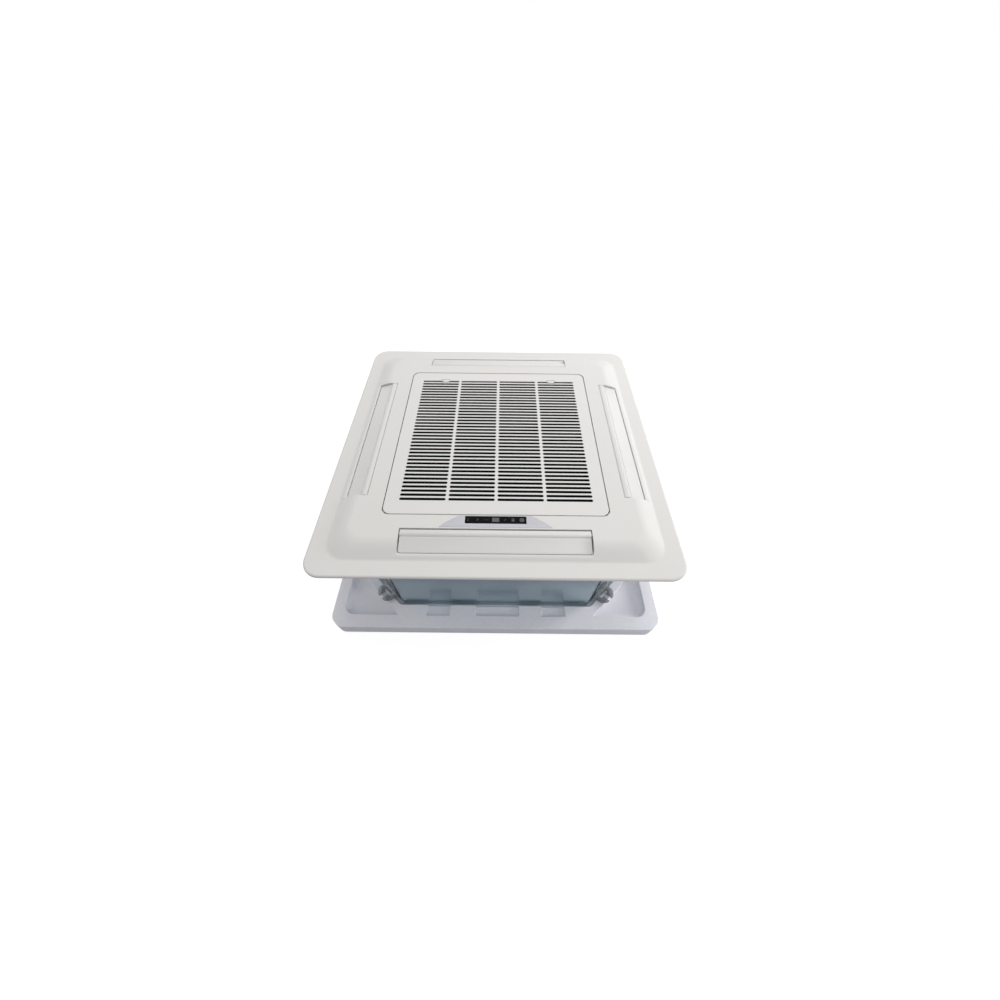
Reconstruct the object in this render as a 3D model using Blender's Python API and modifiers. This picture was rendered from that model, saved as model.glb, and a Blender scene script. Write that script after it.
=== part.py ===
# Four-way ceiling cassette fan coil unit, standing panel up in its foam packing tray.
# Metres, +Z up. The origin is the centre of the tray's underside; the display side faces -Y.

import math

import bmesh
import bpy
from mathutils import Matrix, Vector
from mathutils.geometry import delaunay_2d_cdt

# Play between pieces
SEAT = 0.0003
DOOR_GAP = 0.0025
LOUVER_GAP = 0.002
KNUCKLE_GAP = 0.0015
TRAY_CLEARANCE = 0.003
PIN_PLAY = 0.0003

# Packing tray
TRAY_SURROUND = 0.080
TRAY_HEIGHT = 0.050
TRAY_CHAMFER = 0.045
TRAY_FLOOR = 0.030
TRAY_RIB = 0.033
TRAY_RIM_X = 0.044
TRAY_RIM_Y = 0.050
POCKET_CORNER = 0.012
POCKET_FLOOR = 0.020
NOTCH_FLOOR = 0.014
NOTCH_DEPTH = 0.030
NOTCHES = ((-0.176, 0.070), (0.006, 0.132), (0.178, 0.071))

# Casing
CASING_WIDTH = 0.840
CASING_HEIGHT = 0.300
CASING_CHAMFER = 0.131
SHEET = 0.0012
RIM_FLANGE = 0.011
SHEET_RETURN = 0.014
PLATE_LIP = 0.011
DISH_RISE = 0.011
DISH_RADIUS = 0.125
DISH_SLOPE = 0.025
LINER_WALL = 0.020
LINER_FLOOR = 0.015

# Hanger brackets: their bolts stand on a rectangle
BOLT_INSET_X = 0.080
BOLT_INSET_Y = 0.030
BRACKET_WIDTH = 0.062
BRACKET_REACH = 0.028
BRACKET_SHEET = 0.0025
BRACKET_LEG = 0.048
BRACKET_LIFT = 0.0075
SLOT_WIDTH = 0.012
SLOT_LENGTH = 0.030

# Panel
PANEL_OVERHANG = 0.055
PANEL_CORNER = 0.050
FLANGE_WIDTH = 0.045
FLANGE_THICKNESS = 0.008
DOME_RISE = 0.021
DOME_SLOPE = 0.058
DOME_FULLNESS = 0.65
DOME_CORNER = 0.055
PLATEAU_CORNER = 0.040
WALL = 0.003
GASKET_THICKNESS = 0.0111

# Intake grille
GRILLE_BAND_X = 0.0475
GRILLE_BAND_Y = 0.0435
GRILLE_CORNER = 0.021
GRILLE_THICKNESS = 0.012
GRILLE_LEDGE = 0.012
SLOT_COLUMNS = 4
SLOT_BORDER = 0.0405
SLOT_PITCH = 0.0142
SLOT_OPENING = 0.008
SLOT_SKIN = 0.003
POCKET_MARGIN = 0.0015
MULLION = 0.009
HINGE_RELIEF = 0.001
HINGE_INSET = 0.007
HINGE_DEPTH = 0.003
HINGE_PIN = 0.0015
SWING_ROOM = 0.003
LATCH_SPACING = 0.368
LATCH_WIDTH = 0.026
LATCH_THICKNESS = 0.004
LATCH_TRAVEL = 0.004
LATCH_BITE = 0.0015
LATCH_TAB = 0.0045
LATCH_SETBACK = 0.0025

# Air filter
FILTER_FRAME = 0.007
FILTER_MESH = 0.001
FILTER_RIB = 0.006

# Louvers and their ducts
LOUVER_RIM = 0.018
LOUVER_WIDTH = 0.062
LOUVER_LENGTH = 0.490
LOUVER_CORNER = 0.008
LOUVER_WALL = 0.003
LOUVER_KNUCKLE = 0.008
LOUVER_PIN = 0.0025
LOUVER_SINK = 0.0033
RAMP_FOOT = 0.001
RAMP_FOOT_RISE = 0.0003
DUCT_TUCK_IN = 0.005
DUCT_TUCK_OUT = 0.012
DUCT_TUCK_END = 0.010
DUCT_FOAM = 0.008
COLLAR_WALL = 0.0025
COLLAR_END_WALL = 0.008
COLLAR_GAP = 0.001
STEPPER_RADIUS = 0.010
STEPPER_LENGTH = 0.015
STEPPER_OFFSET = 0.006

# Display
DISPLAY_RADIUS = 0.215
DISPLAY_CHORD = 0.2916
DISPLAY_DEPTH = 0.036
DISPLAY_RIM = 0.0015
DISPLAY_THICKNESS = 0.0018
DISPLAY_PROUD = 0.0004
WINDOW_WIDTH = 0.159
WINDOW_DEPTH = 0.022
WINDOW_SETBACK = 0.013
WINDOW_PROUD = 0.0003
BUTTON_RADIUS = 0.0045
BUTTON_OFFSET = 0.068
BUTTON_TRAVEL = 0.0008

# Air path
PAN_HEIGHT = 0.0588
PAN_BORE_GAP = 0.001
TROUGH_DEPTH = 0.011
TROUGH_MARGIN = 0.008
MOUTH_SEAT = 0.010
MOUTH_LIP = 0.006
MOUTH_THROAT = 0.150
MOUTH_WALL = 0.0025
MOUTH_FLARE = 0.072
MOUTH_OVERLAP = 0.008
EYE_RADIUS = 0.158
FAN_COIL_GAP = 0.041
FAN_BLADES = 7
FAN_WALL = 0.0025
FAN_BACK = 0.036
FAN_PAN_GAP = 0.0885
BLADE_ROOT = 0.118
BLADE_WRAP = 62.0
BLADE_THICKNESS = 0.006
HUB_RADIUS = 0.076
HUB_HEIGHT = 0.086
HUB_BOSS = 0.018
SHAFT_RADIUS = 0.006
MOTOR_RADIUS = 0.062
MOTOR_HEIGHT = 0.080
MOTOR_FOOT = 0.082
MOTOR_FOOT_THICKNESS = 0.004
COIL_PLENUM = 0.116
COIL_THICKNESS = 0.038
COIL_CORNER = 0.075
COIL_END_GAP = 0.089

# Services in the open corner of the coil
PIPE_RADIUS = 0.011
PIPE_SPACING = 0.070
PIPE_OFFSET = 0.045
PIPE_REACH = 0.040
PIPE_HEIGHT = 0.070
FITTING_RADIUS = 0.0165
FITTING_LENGTH = 0.026
DRAIN_RADIUS = 0.014
DRAIN_BORE = 0.0115
DRAIN_DROP = 0.0257
PUMP_SIDE = 0.054
PUMP_HEIGHT = 0.080
PUMP_NOZZLE = 0.036
FLOAT_RADIUS = 0.012
FLOAT_HEIGHT = 0.012
FLOAT_TRAVEL = 0.010
STEM_RADIUS = 0.004
STEM_FOOT = 0.004
BOX_WIDTH = 0.300
BOX_DEPTH = 0.044
BOX_HEIGHT = 0.040
BOX_WALL = 0.0015

ROUND_STEPS = 26
SIDES = {"right": 0, "back": 90, "left": 180, "front": 270}
CORNERS = {"back_right": 45, "back_left": 135, "front_left": 225, "front_right": 315}

# Levels that follow from the sizes above
casing_base = TRAY_FLOOR + SEAT
casing_rim = casing_base + CASING_HEIGHT
panel_back = casing_rim + 2 * SEAT + GASKET_THICKNESS
flange_top = panel_back + FLANGE_THICKNESS
dome_top = flange_top + DOME_RISE
grille_ledge = dome_top - GRILLE_THICKNESS - SWING_ROOM
plate_top = casing_base + SHEET
dish_top = plate_top + DISH_RISE
liner_base = plate_top + SEAT
liner_floor = liner_base + LINER_FLOOR
pan_top = casing_rim - SHEET - SEAT
pan_base = pan_top - PAN_HEIGHT
casing_half = CASING_WIDTH / 2
chamfer_line = (CASING_WIDTH - CASING_CHAMFER) / math.sqrt(2)
lining_inset = 3 * (SHEET + SEAT)
panel_half = casing_half + PANEL_OVERHANG
dome_half = panel_half - FLANGE_WIDTH
louver_outer = dome_half - LOUVER_RIM
louver_inner = louver_outer - LOUVER_WIDTH
opening_x = louver_inner - GRILLE_BAND_X
opening_y = louver_inner - GRILLE_BAND_Y
grille_half_x = opening_x - DOOR_GAP
grille_half_y = opening_y - DOOR_GAP
duct_inner = louver_inner - DUCT_TUCK_IN
duct_outer = louver_outer - DUCT_TUCK_OUT
half_opening = LOUVER_LENGTH / 2
half_duct = half_opening - DUCT_TUCK_END
duct_top = flange_top + 0.0005
coil_half = casing_half - COIL_PLENUM
coil_inner = coil_half - COIL_THICKNESS
coil_end = coil_half - COIL_END_GAP
fan_radius = coil_inner - FAN_COIL_GAP
pan_bore = fan_radius + PAN_BORE_GAP
to_upright = Matrix(((1, 0, 0, 0), (0, 0, -1, 0), (0, 1, 0, 0), (0, 0, 0, 1)))

for leftover in list(bpy.data.objects):
    bpy.data.objects.remove(leftover, do_unlink=True)

unit = bpy.data.collections.new("ceiling_fan_coil_unit")
cutters = bpy.data.collections.new("cutters")
bpy.context.scene.collection.children.link(unit)
bpy.context.scene.collection.children.link(cutters)


def linear(channel):
    if channel <= 0.04045:
        return channel / 12.92
    return ((channel + 0.055) / 1.055) ** 2.4


def make_material(name, colour, roughness, metallic=0.0):
    material = bpy.data.materials.new(name)
    material.use_nodes = True
    shader = material.node_tree.nodes["Principled BSDF"]
    shader.inputs["Base Color"].default_value = [linear(c / 255) for c in colour] + [1.0]
    shader.inputs["Roughness"].default_value = roughness
    shader.inputs["Metallic"].default_value = metallic
    return material


panel_plastic = make_material("panel_plastic", (222, 222, 219), 0.35)
grille_plastic = make_material("grille_plastic", (224, 224, 221), 0.35)
louver_plastic = make_material("louver_plastic", (212, 212, 209), 0.3)
crescent_plastic = make_material("crescent_plastic", (198, 200, 208), 0.3)
window_plastic = make_material("window_plastic", (10, 10, 12), 0.15)
button_plastic = make_material("button_plastic", (120, 122, 126), 0.4)
foam_white = make_material("foam_white", (232, 232, 238), 0.8)
foam_liner_grey = make_material("foam_liner_grey", (205, 206, 208), 0.85)
gasket_foam = make_material("gasket_foam", (40, 40, 42), 0.9)
galvanised = make_material("galvanised", (141, 154, 160), 0.35, 0.9)
bracket_zinc = make_material("bracket_zinc", (160, 164, 168), 0.4, 0.9)
coil_aluminium = make_material("coil_aluminium", (180, 184, 188), 0.45, 0.8)
copper = make_material("copper", (184, 115, 80), 0.35, 0.9)
brass = make_material("brass", (190, 160, 90), 0.35, 0.9)
fan_plastic = make_material("fan_plastic", (58, 60, 64), 0.5)
dark_plastic = make_material("dark_plastic", (44, 45, 48), 0.55)
motor_steel = make_material("motor_steel", (120, 124, 128), 0.4, 0.8)
shaft_steel = make_material("shaft_steel", (170, 172, 175), 0.3, 1.0)
filter_mesh = make_material("filter_mesh", (52, 54, 58), 0.8)
hose_rubber = make_material("hose_rubber", (60, 60, 62), 0.7)


def add_object(name, data, material=None):
    # A shape without a material only cuts or joins another one.
    item = bpy.data.objects.new(name, data)
    if material:
        unit.objects.link(item)
        if not data.materials:
            data.materials.append(material)
    else:
        cutters.objects.link(item)
        item.hide_render = True
        item.display_type = "WIRE"
    return item


def add_mesh(name, shape, material=None):
    mesh = bpy.data.meshes.new(name)
    bmesh.ops.recalc_face_normals(shape, faces=shape.faces)
    shape.to_mesh(mesh)
    shape.free()
    return add_object(name, mesh, material)


def box(name, low, high, material=None):
    shape = bmesh.new()
    bmesh.ops.create_cube(shape, size=1.0)
    size = Vector(high) - Vector(low)
    bmesh.ops.scale(shape, vec=size, verts=shape.verts)
    bmesh.ops.translate(shape, vec=(Vector(high) + Vector(low)) / 2, verts=shape.verts)
    return add_mesh(name, shape, material)


def rod(name, start, end, radius, material=None, segments=16):
    start = Vector(start)
    along = Vector(end) - start
    shape = bmesh.new()
    bmesh.ops.create_cone(
        shape, cap_ends=True, segments=segments, radius1=radius, radius2=radius, depth=along.length
    )
    turn = along.to_track_quat("Z", "Y").to_matrix().to_4x4()
    bmesh.ops.transform(shape, matrix=Matrix.Translation(start + along / 2) @ turn, verts=shape.verts)
    item = add_mesh(name, shape, material)
    item.data.shade_smooth()
    item.data.set_sharp_from_angle(angle=math.radians(40))
    return item


def plate(name, outlines, bottom, top, material=None):
    # A flat outline with any holes, as a filled 2D curve that is thickened and made a mesh.
    curve = bpy.data.curves.new(name, "CURVE")
    curve.dimensions = "2D"
    curve.fill_mode = "BOTH"
    curve.extrude = (top - bottom) / 2
    for outline in outlines:
        spline = curve.splines.new("POLY")
        spline.points.add(len(outline) - 1)
        for point, (x, y) in zip(spline.points, outline):
            point.co = (x, y, 0.0, 1.0)
        spline.use_cyclic_u = True
    guide = bpy.data.objects.new(name + "_outline", curve)
    cutters.objects.link(guide)
    graph = bpy.context.evaluated_depsgraph_get()
    mesh = bpy.data.meshes.new_from_object(guide.evaluated_get(graph))
    bpy.data.objects.remove(guide, do_unlink=True)
    bpy.data.curves.remove(curve)
    shape = bmesh.new()
    shape.from_mesh(mesh)
    bpy.data.meshes.remove(mesh)
    bmesh.ops.remove_doubles(shape, verts=shape.verts, dist=0.00001)
    bmesh.ops.translate(shape, vec=(0.0, 0.0, (top + bottom) / 2), verts=shape.verts)
    return add_mesh(name, shape, material)


def perforated(name, outline, holes, bottom, top, material=None):
    # A sheet with many holes in line, which a filled curve can't close.
    points = []
    edges = []
    loops = []
    for number, loop in enumerate([outline] + holes):
        first = len(points)
        edges += [(first + step, first + (step + 1) % len(loop)) for step in range(len(loop))]
        points += [Vector(point) for point in loop]
        loops += [number] * len(loop)
    places, _, faces, origins, _, _ = delaunay_2d_cdt(points, edges, [], 1, 1e-7)
    shape = bmesh.new()
    corners = [shape.verts.new((place.x, place.y, bottom)) for place in places]
    for face in faces:
        around = {loops[origins[corner][0]] for corner in face}
        if len(around) > 1 or 0 in around:
            shape.faces.new([corners[corner] for corner in face])
    raised = bmesh.ops.extrude_face_region(shape, geom=shape.faces[:], use_keep_orig=True)["geom"]
    upper = [part for part in raised if isinstance(part, bmesh.types.BMVert)]
    bmesh.ops.translate(shape, vec=(0.0, 0.0, top - bottom), verts=upper)
    return add_mesh(name, shape, material)


def stack(name, sections, material=None):
    # A loft through closed outlines that lie one above the other.
    shape = bmesh.new()
    loops = [[shape.verts.new((x, y, z)) for x, y in outline] for outline, z in sections]
    for low, high in zip(loops, loops[1:]):
        for here in range(len(low)):
            there = (here + 1) % len(low)
            shape.faces.new((low[here], low[there], high[there], high[here]))
    shape.faces.new(loops[0])
    shape.faces.new(loops[-1])
    return add_mesh(name, shape, material)


def turned(name, profile, material=None, steps=ROUND_STEPS):
    # A profile at +X turned round Z. It is wound down its outer side, so the faces point out.
    area = sum(
        here[0] * there[1] - there[0] * here[1]
        for here, there in zip(profile, profile[1:] + profile[:1])
    )
    if area > 0:
        profile = profile[::-1]
    hollow = all(radius > 0 for radius, _ in profile)
    if not hollow:
        while profile[0][0] > 0 or profile[-1][0] > 0:
            profile = profile[1:] + profile[:1]
    edges = [(here, here + 1) for here in range(len(profile) - 1)]
    if hollow:
        edges.append((len(profile) - 1, 0))
    mesh = bpy.data.meshes.new(name)
    mesh.from_pydata([(radius, 0.0, height) for radius, height in profile], edges, [])
    item = add_object(name, mesh, material)
    turn = item.modifiers.new("turn", "SCREW")
    turn.steps = steps
    turn.render_steps = steps
    turn.use_merge_vertices = True
    turn.merge_threshold = 0.00001
    turn.use_smooth_shade = True
    return item


def tube(name, points, radius, material, resolution=2):
    curve = bpy.data.curves.new(name, "CURVE")
    curve.dimensions = "3D"
    curve.bevel_depth = radius
    curve.bevel_resolution = resolution
    curve.use_fill_caps = True
    spline = curve.splines.new("POLY")
    spline.points.add(len(points) - 1)
    for target, point in zip(spline.points, points):
        target.co = (*point, 1.0)
    spline.use_smooth = True
    return add_object(name, curve, material)


def apply_shape(item, other, operation):
    change = item.modifiers.new(other.name, "BOOLEAN")
    change.operation = operation
    change.object = other


def cut(item, *others):
    for other in others:
        apply_shape(item, other, "DIFFERENCE")


def join(item, *others):
    for other in others:
        apply_shape(item, other, "UNION")


def turn_to(item, degrees, location=(0.0, 0.0, 0.0)):
    item.rotation_euler = (0.0, 0.0, math.radians(degrees))
    item.location = location
    return item


def rounded_rectangle(half_x, half_y, radius, steps=4, centre=(0.0, 0.0)):
    outline = []
    for quarter, (way_x, way_y) in enumerate(((1, 1), (-1, 1), (-1, -1), (1, -1))):
        for step in range(steps + 1):
            angle = math.radians(90 * (quarter + step / steps))
            outline.append(
                (
                    centre[0] + way_x * (half_x - radius) + radius * math.cos(angle),
                    centre[1] + way_y * (half_y - radius) + radius * math.sin(angle),
                )
            )
    return outline


def rectangle(low_x, low_y, high_x, high_y):
    return [(low_x, low_y), (high_x, low_y), (high_x, high_y), (low_x, high_y)]


def cornered(inner, outer, half, corner):
    # An outline on one side of the panel, with its two outer corners cut.
    return [
        (inner, -half),
        (outer - corner, -half),
        (outer, -half + corner),
        (outer, half - corner),
        (outer - corner, half),
        (inner, half),
    ]


def chamfered_square(half_x, half_y, chamfer):
    outline = []
    for way_x, way_y in ((1, 1), (-1, 1), (-1, -1), (1, -1)):
        pair = [
            (way_x * half_x, way_y * (half_y - chamfer)),
            (way_x * (half_x - chamfer), way_y * half_y),
        ]
        outline += pair if way_x * way_y > 0 else pair[::-1]
    return outline


def casing_outline(inset):
    # The casing's octagon, drawn in by the same distance on all eight sides.
    half = casing_half - inset
    chamfer = CASING_CHAMFER - inset * (2 - math.sqrt(2))
    return chamfered_square(half, half, chamfer)


def circle(radius, steps=ROUND_STEPS, centre=(0.0, 0.0)):
    return [
        (
            centre[0] + radius * math.cos(2 * math.pi * step / steps),
            centre[1] + radius * math.sin(2 * math.pi * step / steps),
        )
        for step in range(steps)
    ]


def thicken(path, thickness):
    # The closed section of a wall that follows a path; thickness is one size or one per point.
    if not isinstance(thickness, list):
        thickness = [thickness] * len(path)
    left = []
    right = []
    for here, (x, y) in enumerate(path):
        before = path[max(here - 1, 0)]
        after = path[min(here + 1, len(path) - 1)]
        along = Vector((after[0] - before[0], after[1] - before[1])).normalized()
        half = thickness[here] / 2
        left.append((x - along.y * half, y + along.x * half))
        right.append((x + along.y * half, y - along.x * half))
    return left + right[::-1]


def dome_rise(share):
    # How high the dome stands at a share of its slope: soft at the flange, then full and round.
    soft = share * share * (3 - 2 * share)
    full = math.sin(math.radians(90 * share))
    return DOME_RISE * (soft + (full - soft) * DOME_FULLNESS)


tray_half = casing_half + TRAY_SURROUND

# Packing tray: a foam block with a recess for the casing, notches and corner pockets
tray = plate(
    "packing_tray",
    [chamfered_square(tray_half, tray_half, TRAY_CHAMFER)],
    0.0,
    TRAY_HEIGHT,
    foam_white,
)
tray_recess = plate(
    "tray_recess", [casing_outline(-TRAY_CLEARANCE)], TRAY_FLOOR, TRAY_HEIGHT + 0.01
)
cut(tray, tray_recess)
for number, (centre, width) in enumerate(NOTCHES):
    for way in (-1, 1):
        edge = way * (casing_half + TRAY_CLEARANCE)
        far = edge + way * NOTCH_DEPTH
        near = edge - way * 0.012
        notch = box(
            f"tray_notch_{number}_{way}",
            (centre - width / 2, min(near, far), NOTCH_FLOOR),
            (centre + width / 2, max(near, far), TRAY_HEIGHT + 0.01),
        )
        cut(tray, notch)
pocket_x = tray_half - TRAY_RIM_X
pocket_y = tray_half - TRAY_RIM_Y
rib_line = CASING_WIDTH - CASING_CHAMFER + math.sqrt(2) * (TRAY_CLEARANCE + TRAY_RIB)
for way_x in (-1, 1):
    for way_y in (-1, 1):
        corner = plate(
            f"tray_pocket_{way_x}_{way_y}",
            [
                [
                    (way_x * pocket_x, way_y * (rib_line - pocket_x)),
                    (way_x * pocket_x, way_y * (pocket_y - POCKET_CORNER)),
                    (way_x * (pocket_x - POCKET_CORNER), way_y * pocket_y),
                    (way_x * (rib_line - pocket_y), way_y * pocket_y),
                ]
            ],
            POCKET_FLOOR,
            TRAY_HEIGHT + 0.01,
        )
        cut(tray, corner)

# Ceiling-side plate: a pressed pan with a lip and a raised dish that carries the motor
top_plate = plate(
    "top_plate", [casing_outline(2 * (SHEET + SEAT))], casing_base, plate_top + PLATE_LIP, galvanised
)
pan_cavity = plate(
    "plate_cavity",
    [casing_outline(2 * (SHEET + SEAT) + SHEET)],
    plate_top,
    plate_top + PLATE_LIP + 0.01,
)
dish_outside = turned(
    "dish_outside",
    [
        (0.0, plate_top - SHEET / 2),
        (DISH_RADIUS + DISH_SLOPE, plate_top - SHEET / 2),
        (DISH_RADIUS + DISH_SLOPE, plate_top),
        (DISH_RADIUS, dish_top),
        (0.0, dish_top),
    ],
)
cut(pan_cavity, dish_outside)
dish_inside = turned(
    "dish_inside",
    [
        (0.0, casing_base - 0.01),
        (DISH_RADIUS + DISH_SLOPE - SHEET, casing_base - 0.01),
        (DISH_RADIUS + DISH_SLOPE - SHEET, casing_base),
        (DISH_RADIUS - SHEET, dish_top - SHEET),
        (0.0, dish_top - SHEET),
    ],
)
cut(top_plate, pan_cavity, dish_inside)


def folded_sheet(name, path, flange_ends, material):
    # Sheet metal: walls that stand on a path in plan, with a flange turned in along the rim.
    shape = bmesh.new()
    low = [shape.verts.new((x, y, casing_base)) for x, y in path]
    for here, there in zip(low, low[1:]):
        shape.edges.new((here, there))
    raised = bmesh.ops.extrude_edge_only(shape, edges=shape.edges[:])["geom"]
    high = [part for part in raised if isinstance(part, bmesh.types.BMVert)]
    bmesh.ops.translate(shape, vec=(0.0, 0.0, CASING_HEIGHT), verts=high)
    shape.edges.ensure_lookup_table()
    ends = [Vector((*path[index], 0.0)) for index in flange_ends]
    along = (ends[1] - ends[0]).normalized()
    inward = Vector((-along.y, along.x, 0.0))
    rim = [
        edge
        for edge in shape.edges
        if all(
            vert in high
            and (vert.co - ends[0]).dot(along) > -1e-6
            and (vert.co - ends[1]).dot(along) < 1e-6
            for vert in edge.verts
        )
    ]
    turned_in = bmesh.ops.extrude_edge_only(shape, edges=rim)["geom"]
    lip = [part for part in turned_in if isinstance(part, bmesh.types.BMVert)]
    bmesh.ops.translate(shape, vec=inward * RIM_FLANGE, verts=lip)
    item = add_mesh(name, shape, material)
    wall = item.modifiers.new("sheet", "SOLIDIFY")
    wall.thickness = SHEET
    wall.offset = -1.0
    wall.use_even_offset = True
    return item


# Side sheets, with returns that lie behind the corner sheets
return_line = (chamfer_line - SHEET - SEAT) * math.sqrt(2)
bend = return_line - casing_half
back_off = SHEET_RETURN / math.sqrt(2)
flange_from = bend - 0.003 - RIM_FLANGE * 0.5
side_path = [
    (casing_half - back_off, -bend - back_off),
    (casing_half, -bend),
    (casing_half, -flange_from),
    (casing_half, flange_from),
    (casing_half, bend),
    (casing_half - back_off, bend + back_off),
]
for side, degrees in SIDES.items():
    turn_to(folded_sheet(f"side_sheet_{side}", side_path, (2, 3), galvanised), degrees)

# Corner sheets, flat across the chamfers
corner_half = CASING_CHAMFER / math.sqrt(2) - 0.001
corner_path = [
    (chamfer_line, -corner_half),
    (chamfer_line, -corner_half + 0.024),
    (chamfer_line, corner_half - 0.024),
    (chamfer_line, corner_half),
]
pipe_base = liner_floor + PIPE_HEIGHT
pipe_levels = (pipe_base, pipe_base + PIPE_SPACING)
drain_level = pan_base - DRAIN_DROP
for corner, degrees in CORNERS.items():
    sheet = turn_to(folded_sheet(f"corner_sheet_{corner}", corner_path, (1, 2), galvanised), degrees)
    if corner != "back_right":
        continue
    for number, level in enumerate(pipe_levels):
        hole = rod(
            f"pipe_hole_{number}",
            (chamfer_line - 0.03, -PIPE_OFFSET, level),
            (chamfer_line + 0.03, -PIPE_OFFSET, level),
            PIPE_RADIUS + SEAT,
        )
        cut(sheet, turn_to(hole, degrees))
    hole = rod(
        "drain_hole",
        (chamfer_line - 0.03, -PIPE_OFFSET, drain_level),
        (chamfer_line + 0.03, -PIPE_OFFSET, drain_level),
        DRAIN_RADIUS + SEAT,
    )
    cut(sheet, turn_to(hole, degrees))

# Hanger brackets: an angle with a T slot that opens outwards
bolt_x = casing_half - BOLT_INSET_X
bolt_y = casing_half - BOLT_INSET_Y
bolt_out = (bolt_x + bolt_y) / math.sqrt(2)
plate_in = chamfer_line + SEAT - bolt_out
bracket_base = TRAY_HEIGHT + BRACKET_LIFT
bracket_half = BRACKET_WIDTH / 2
nose = bracket_half * 0.42
slot_half = SLOT_WIDTH / 2
bracket_outline = [
    (plate_in, -bracket_half),
    (BRACKET_REACH - 0.018, -bracket_half),
    (BRACKET_REACH, -nose),
    (BRACKET_REACH, -slot_half),
    (slot_half, -slot_half),
    (slot_half, -SLOT_LENGTH / 2),
    (-slot_half * 0.4, -SLOT_LENGTH / 2 - slot_half * 0.3),
    (-slot_half, -SLOT_LENGTH / 2 + slot_half * 0.4),
    (-slot_half, SLOT_LENGTH / 2 - slot_half * 0.4),
    (-slot_half * 0.4, SLOT_LENGTH / 2 + slot_half * 0.3),
    (slot_half, SLOT_LENGTH / 2),
    (slot_half, slot_half),
    (BRACKET_REACH, slot_half),
    (BRACKET_REACH, nose),
    (BRACKET_REACH - 0.018, bracket_half),
    (plate_in, bracket_half),
]
for corner, degrees in CORNERS.items():
    bracket = plate(
        f"hanger_bracket_{corner}",
        [bracket_outline],
        bracket_base,
        bracket_base + BRACKET_SHEET,
        bracket_zinc,
    )
    leg = box(
        f"bracket_leg_{corner}",
        (plate_in, -bracket_half, bracket_base + BRACKET_SHEET / 2),
        (plate_in + BRACKET_SHEET, bracket_half, bracket_base + BRACKET_LEG),
    )
    way_x = math.copysign(1, math.cos(math.radians(degrees)))
    way_y = math.copysign(1, math.sin(math.radians(degrees)))
    place = (way_x * bolt_x, way_y * bolt_y, 0.0)
    turn_to(bracket, degrees, place)
    turn_to(leg, degrees, place)
    join(bracket, leg)

# Foam liner: walls and floor inside the casing
liner = plate("foam_liner", [casing_outline(lining_inset)], liner_base, pan_base - SEAT, foam_liner_grey)
liner_pocket = plate("liner_pocket", [casing_outline(lining_inset + LINER_WALL)], liner_floor, pan_top)
liner_bore = rod(
    "liner_bore",
    (0.0, 0.0, casing_base - 0.01),
    (0.0, 0.0, liner_floor + 0.01),
    DISH_RADIUS + DISH_SLOPE + 0.006,
    segments=ROUND_STEPS,
)
cut(liner, liner_pocket, liner_bore)
for number, level in enumerate(pipe_levels):
    hole = rod(
        f"liner_pipe_hole_{number}",
        (chamfer_line - 0.06, -PIPE_OFFSET, level),
        (chamfer_line + 0.01, -PIPE_OFFSET, level),
        PIPE_RADIUS + 2 * SEAT,
    )
    cut(liner, turn_to(hole, 45))
hole = rod(
    "liner_drain_hole",
    (chamfer_line - 0.06, -PIPE_OFFSET, drain_level),
    (chamfer_line + 0.01, -PIPE_OFFSET, drain_level),
    DRAIN_RADIUS + 2 * SEAT,
)
cut(liner, turn_to(hole, 45))


def duct_outline(margin):
    # The air's way through an outlet duct, widened by a margin all round.
    return rectangle(
        duct_inner - margin, -half_duct - margin, duct_outer + margin, half_duct + margin
    )


def four_ducts(margin):
    outlines = []
    for degrees in SIDES.values():
        turn = Matrix.Rotation(math.radians(degrees), 2)
        outlines.append([tuple(turn @ Vector(point)) for point in duct_outline(margin)])
    return outlines


# Drain pan: a foam slab with the fan's bore, four wells for the ducts and the coil's trough
pan = plate(
    "drain_pan",
    [
        casing_outline(lining_inset),
        circle(pan_bore),
        *four_ducts(DUCT_FOAM + SEAT),
    ],
    pan_base,
    pan_top,
    foam_white,
)
trough_outer = coil_half + TROUGH_MARGIN
trough_inner = coil_inner - TROUGH_MARGIN
trough = plate(
    "pan_trough",
    [
        rounded_rectangle(trough_outer, trough_outer, COIL_CORNER + TROUGH_MARGIN),
        rounded_rectangle(
            trough_inner, trough_inner, COIL_CORNER - COIL_THICKNESS - TROUGH_MARGIN
        ),
    ],
    pan_base - 0.01,
    pan_base + TROUGH_DEPTH,
)
box_front = -(opening_y - GRILLE_LEDGE - 0.006)
box_top = panel_back - 0.001
box_floor = box_top - BOX_HEIGHT
box_pocket = box(
    "box_pocket",
    (-BOX_WIDTH / 2 - SEAT, box_front - SEAT, box_floor - SEAT),
    (BOX_WIDTH / 2 + SEAT, box_front + BOX_DEPTH + SEAT, pan_top + 0.01),
)
cut(pan, trough, box_pocket)

# Outlet ducts: foam sleeves that stand in the pan's wells and reach up into the panel
for side, degrees in SIDES.items():
    duct = plate(
        f"outlet_duct_{side}",
        [duct_outline(DUCT_FOAM), duct_outline(0.0)],
        pan_base,
        duct_top,
        foam_white,
    )
    turn_to(duct, degrees)

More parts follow.
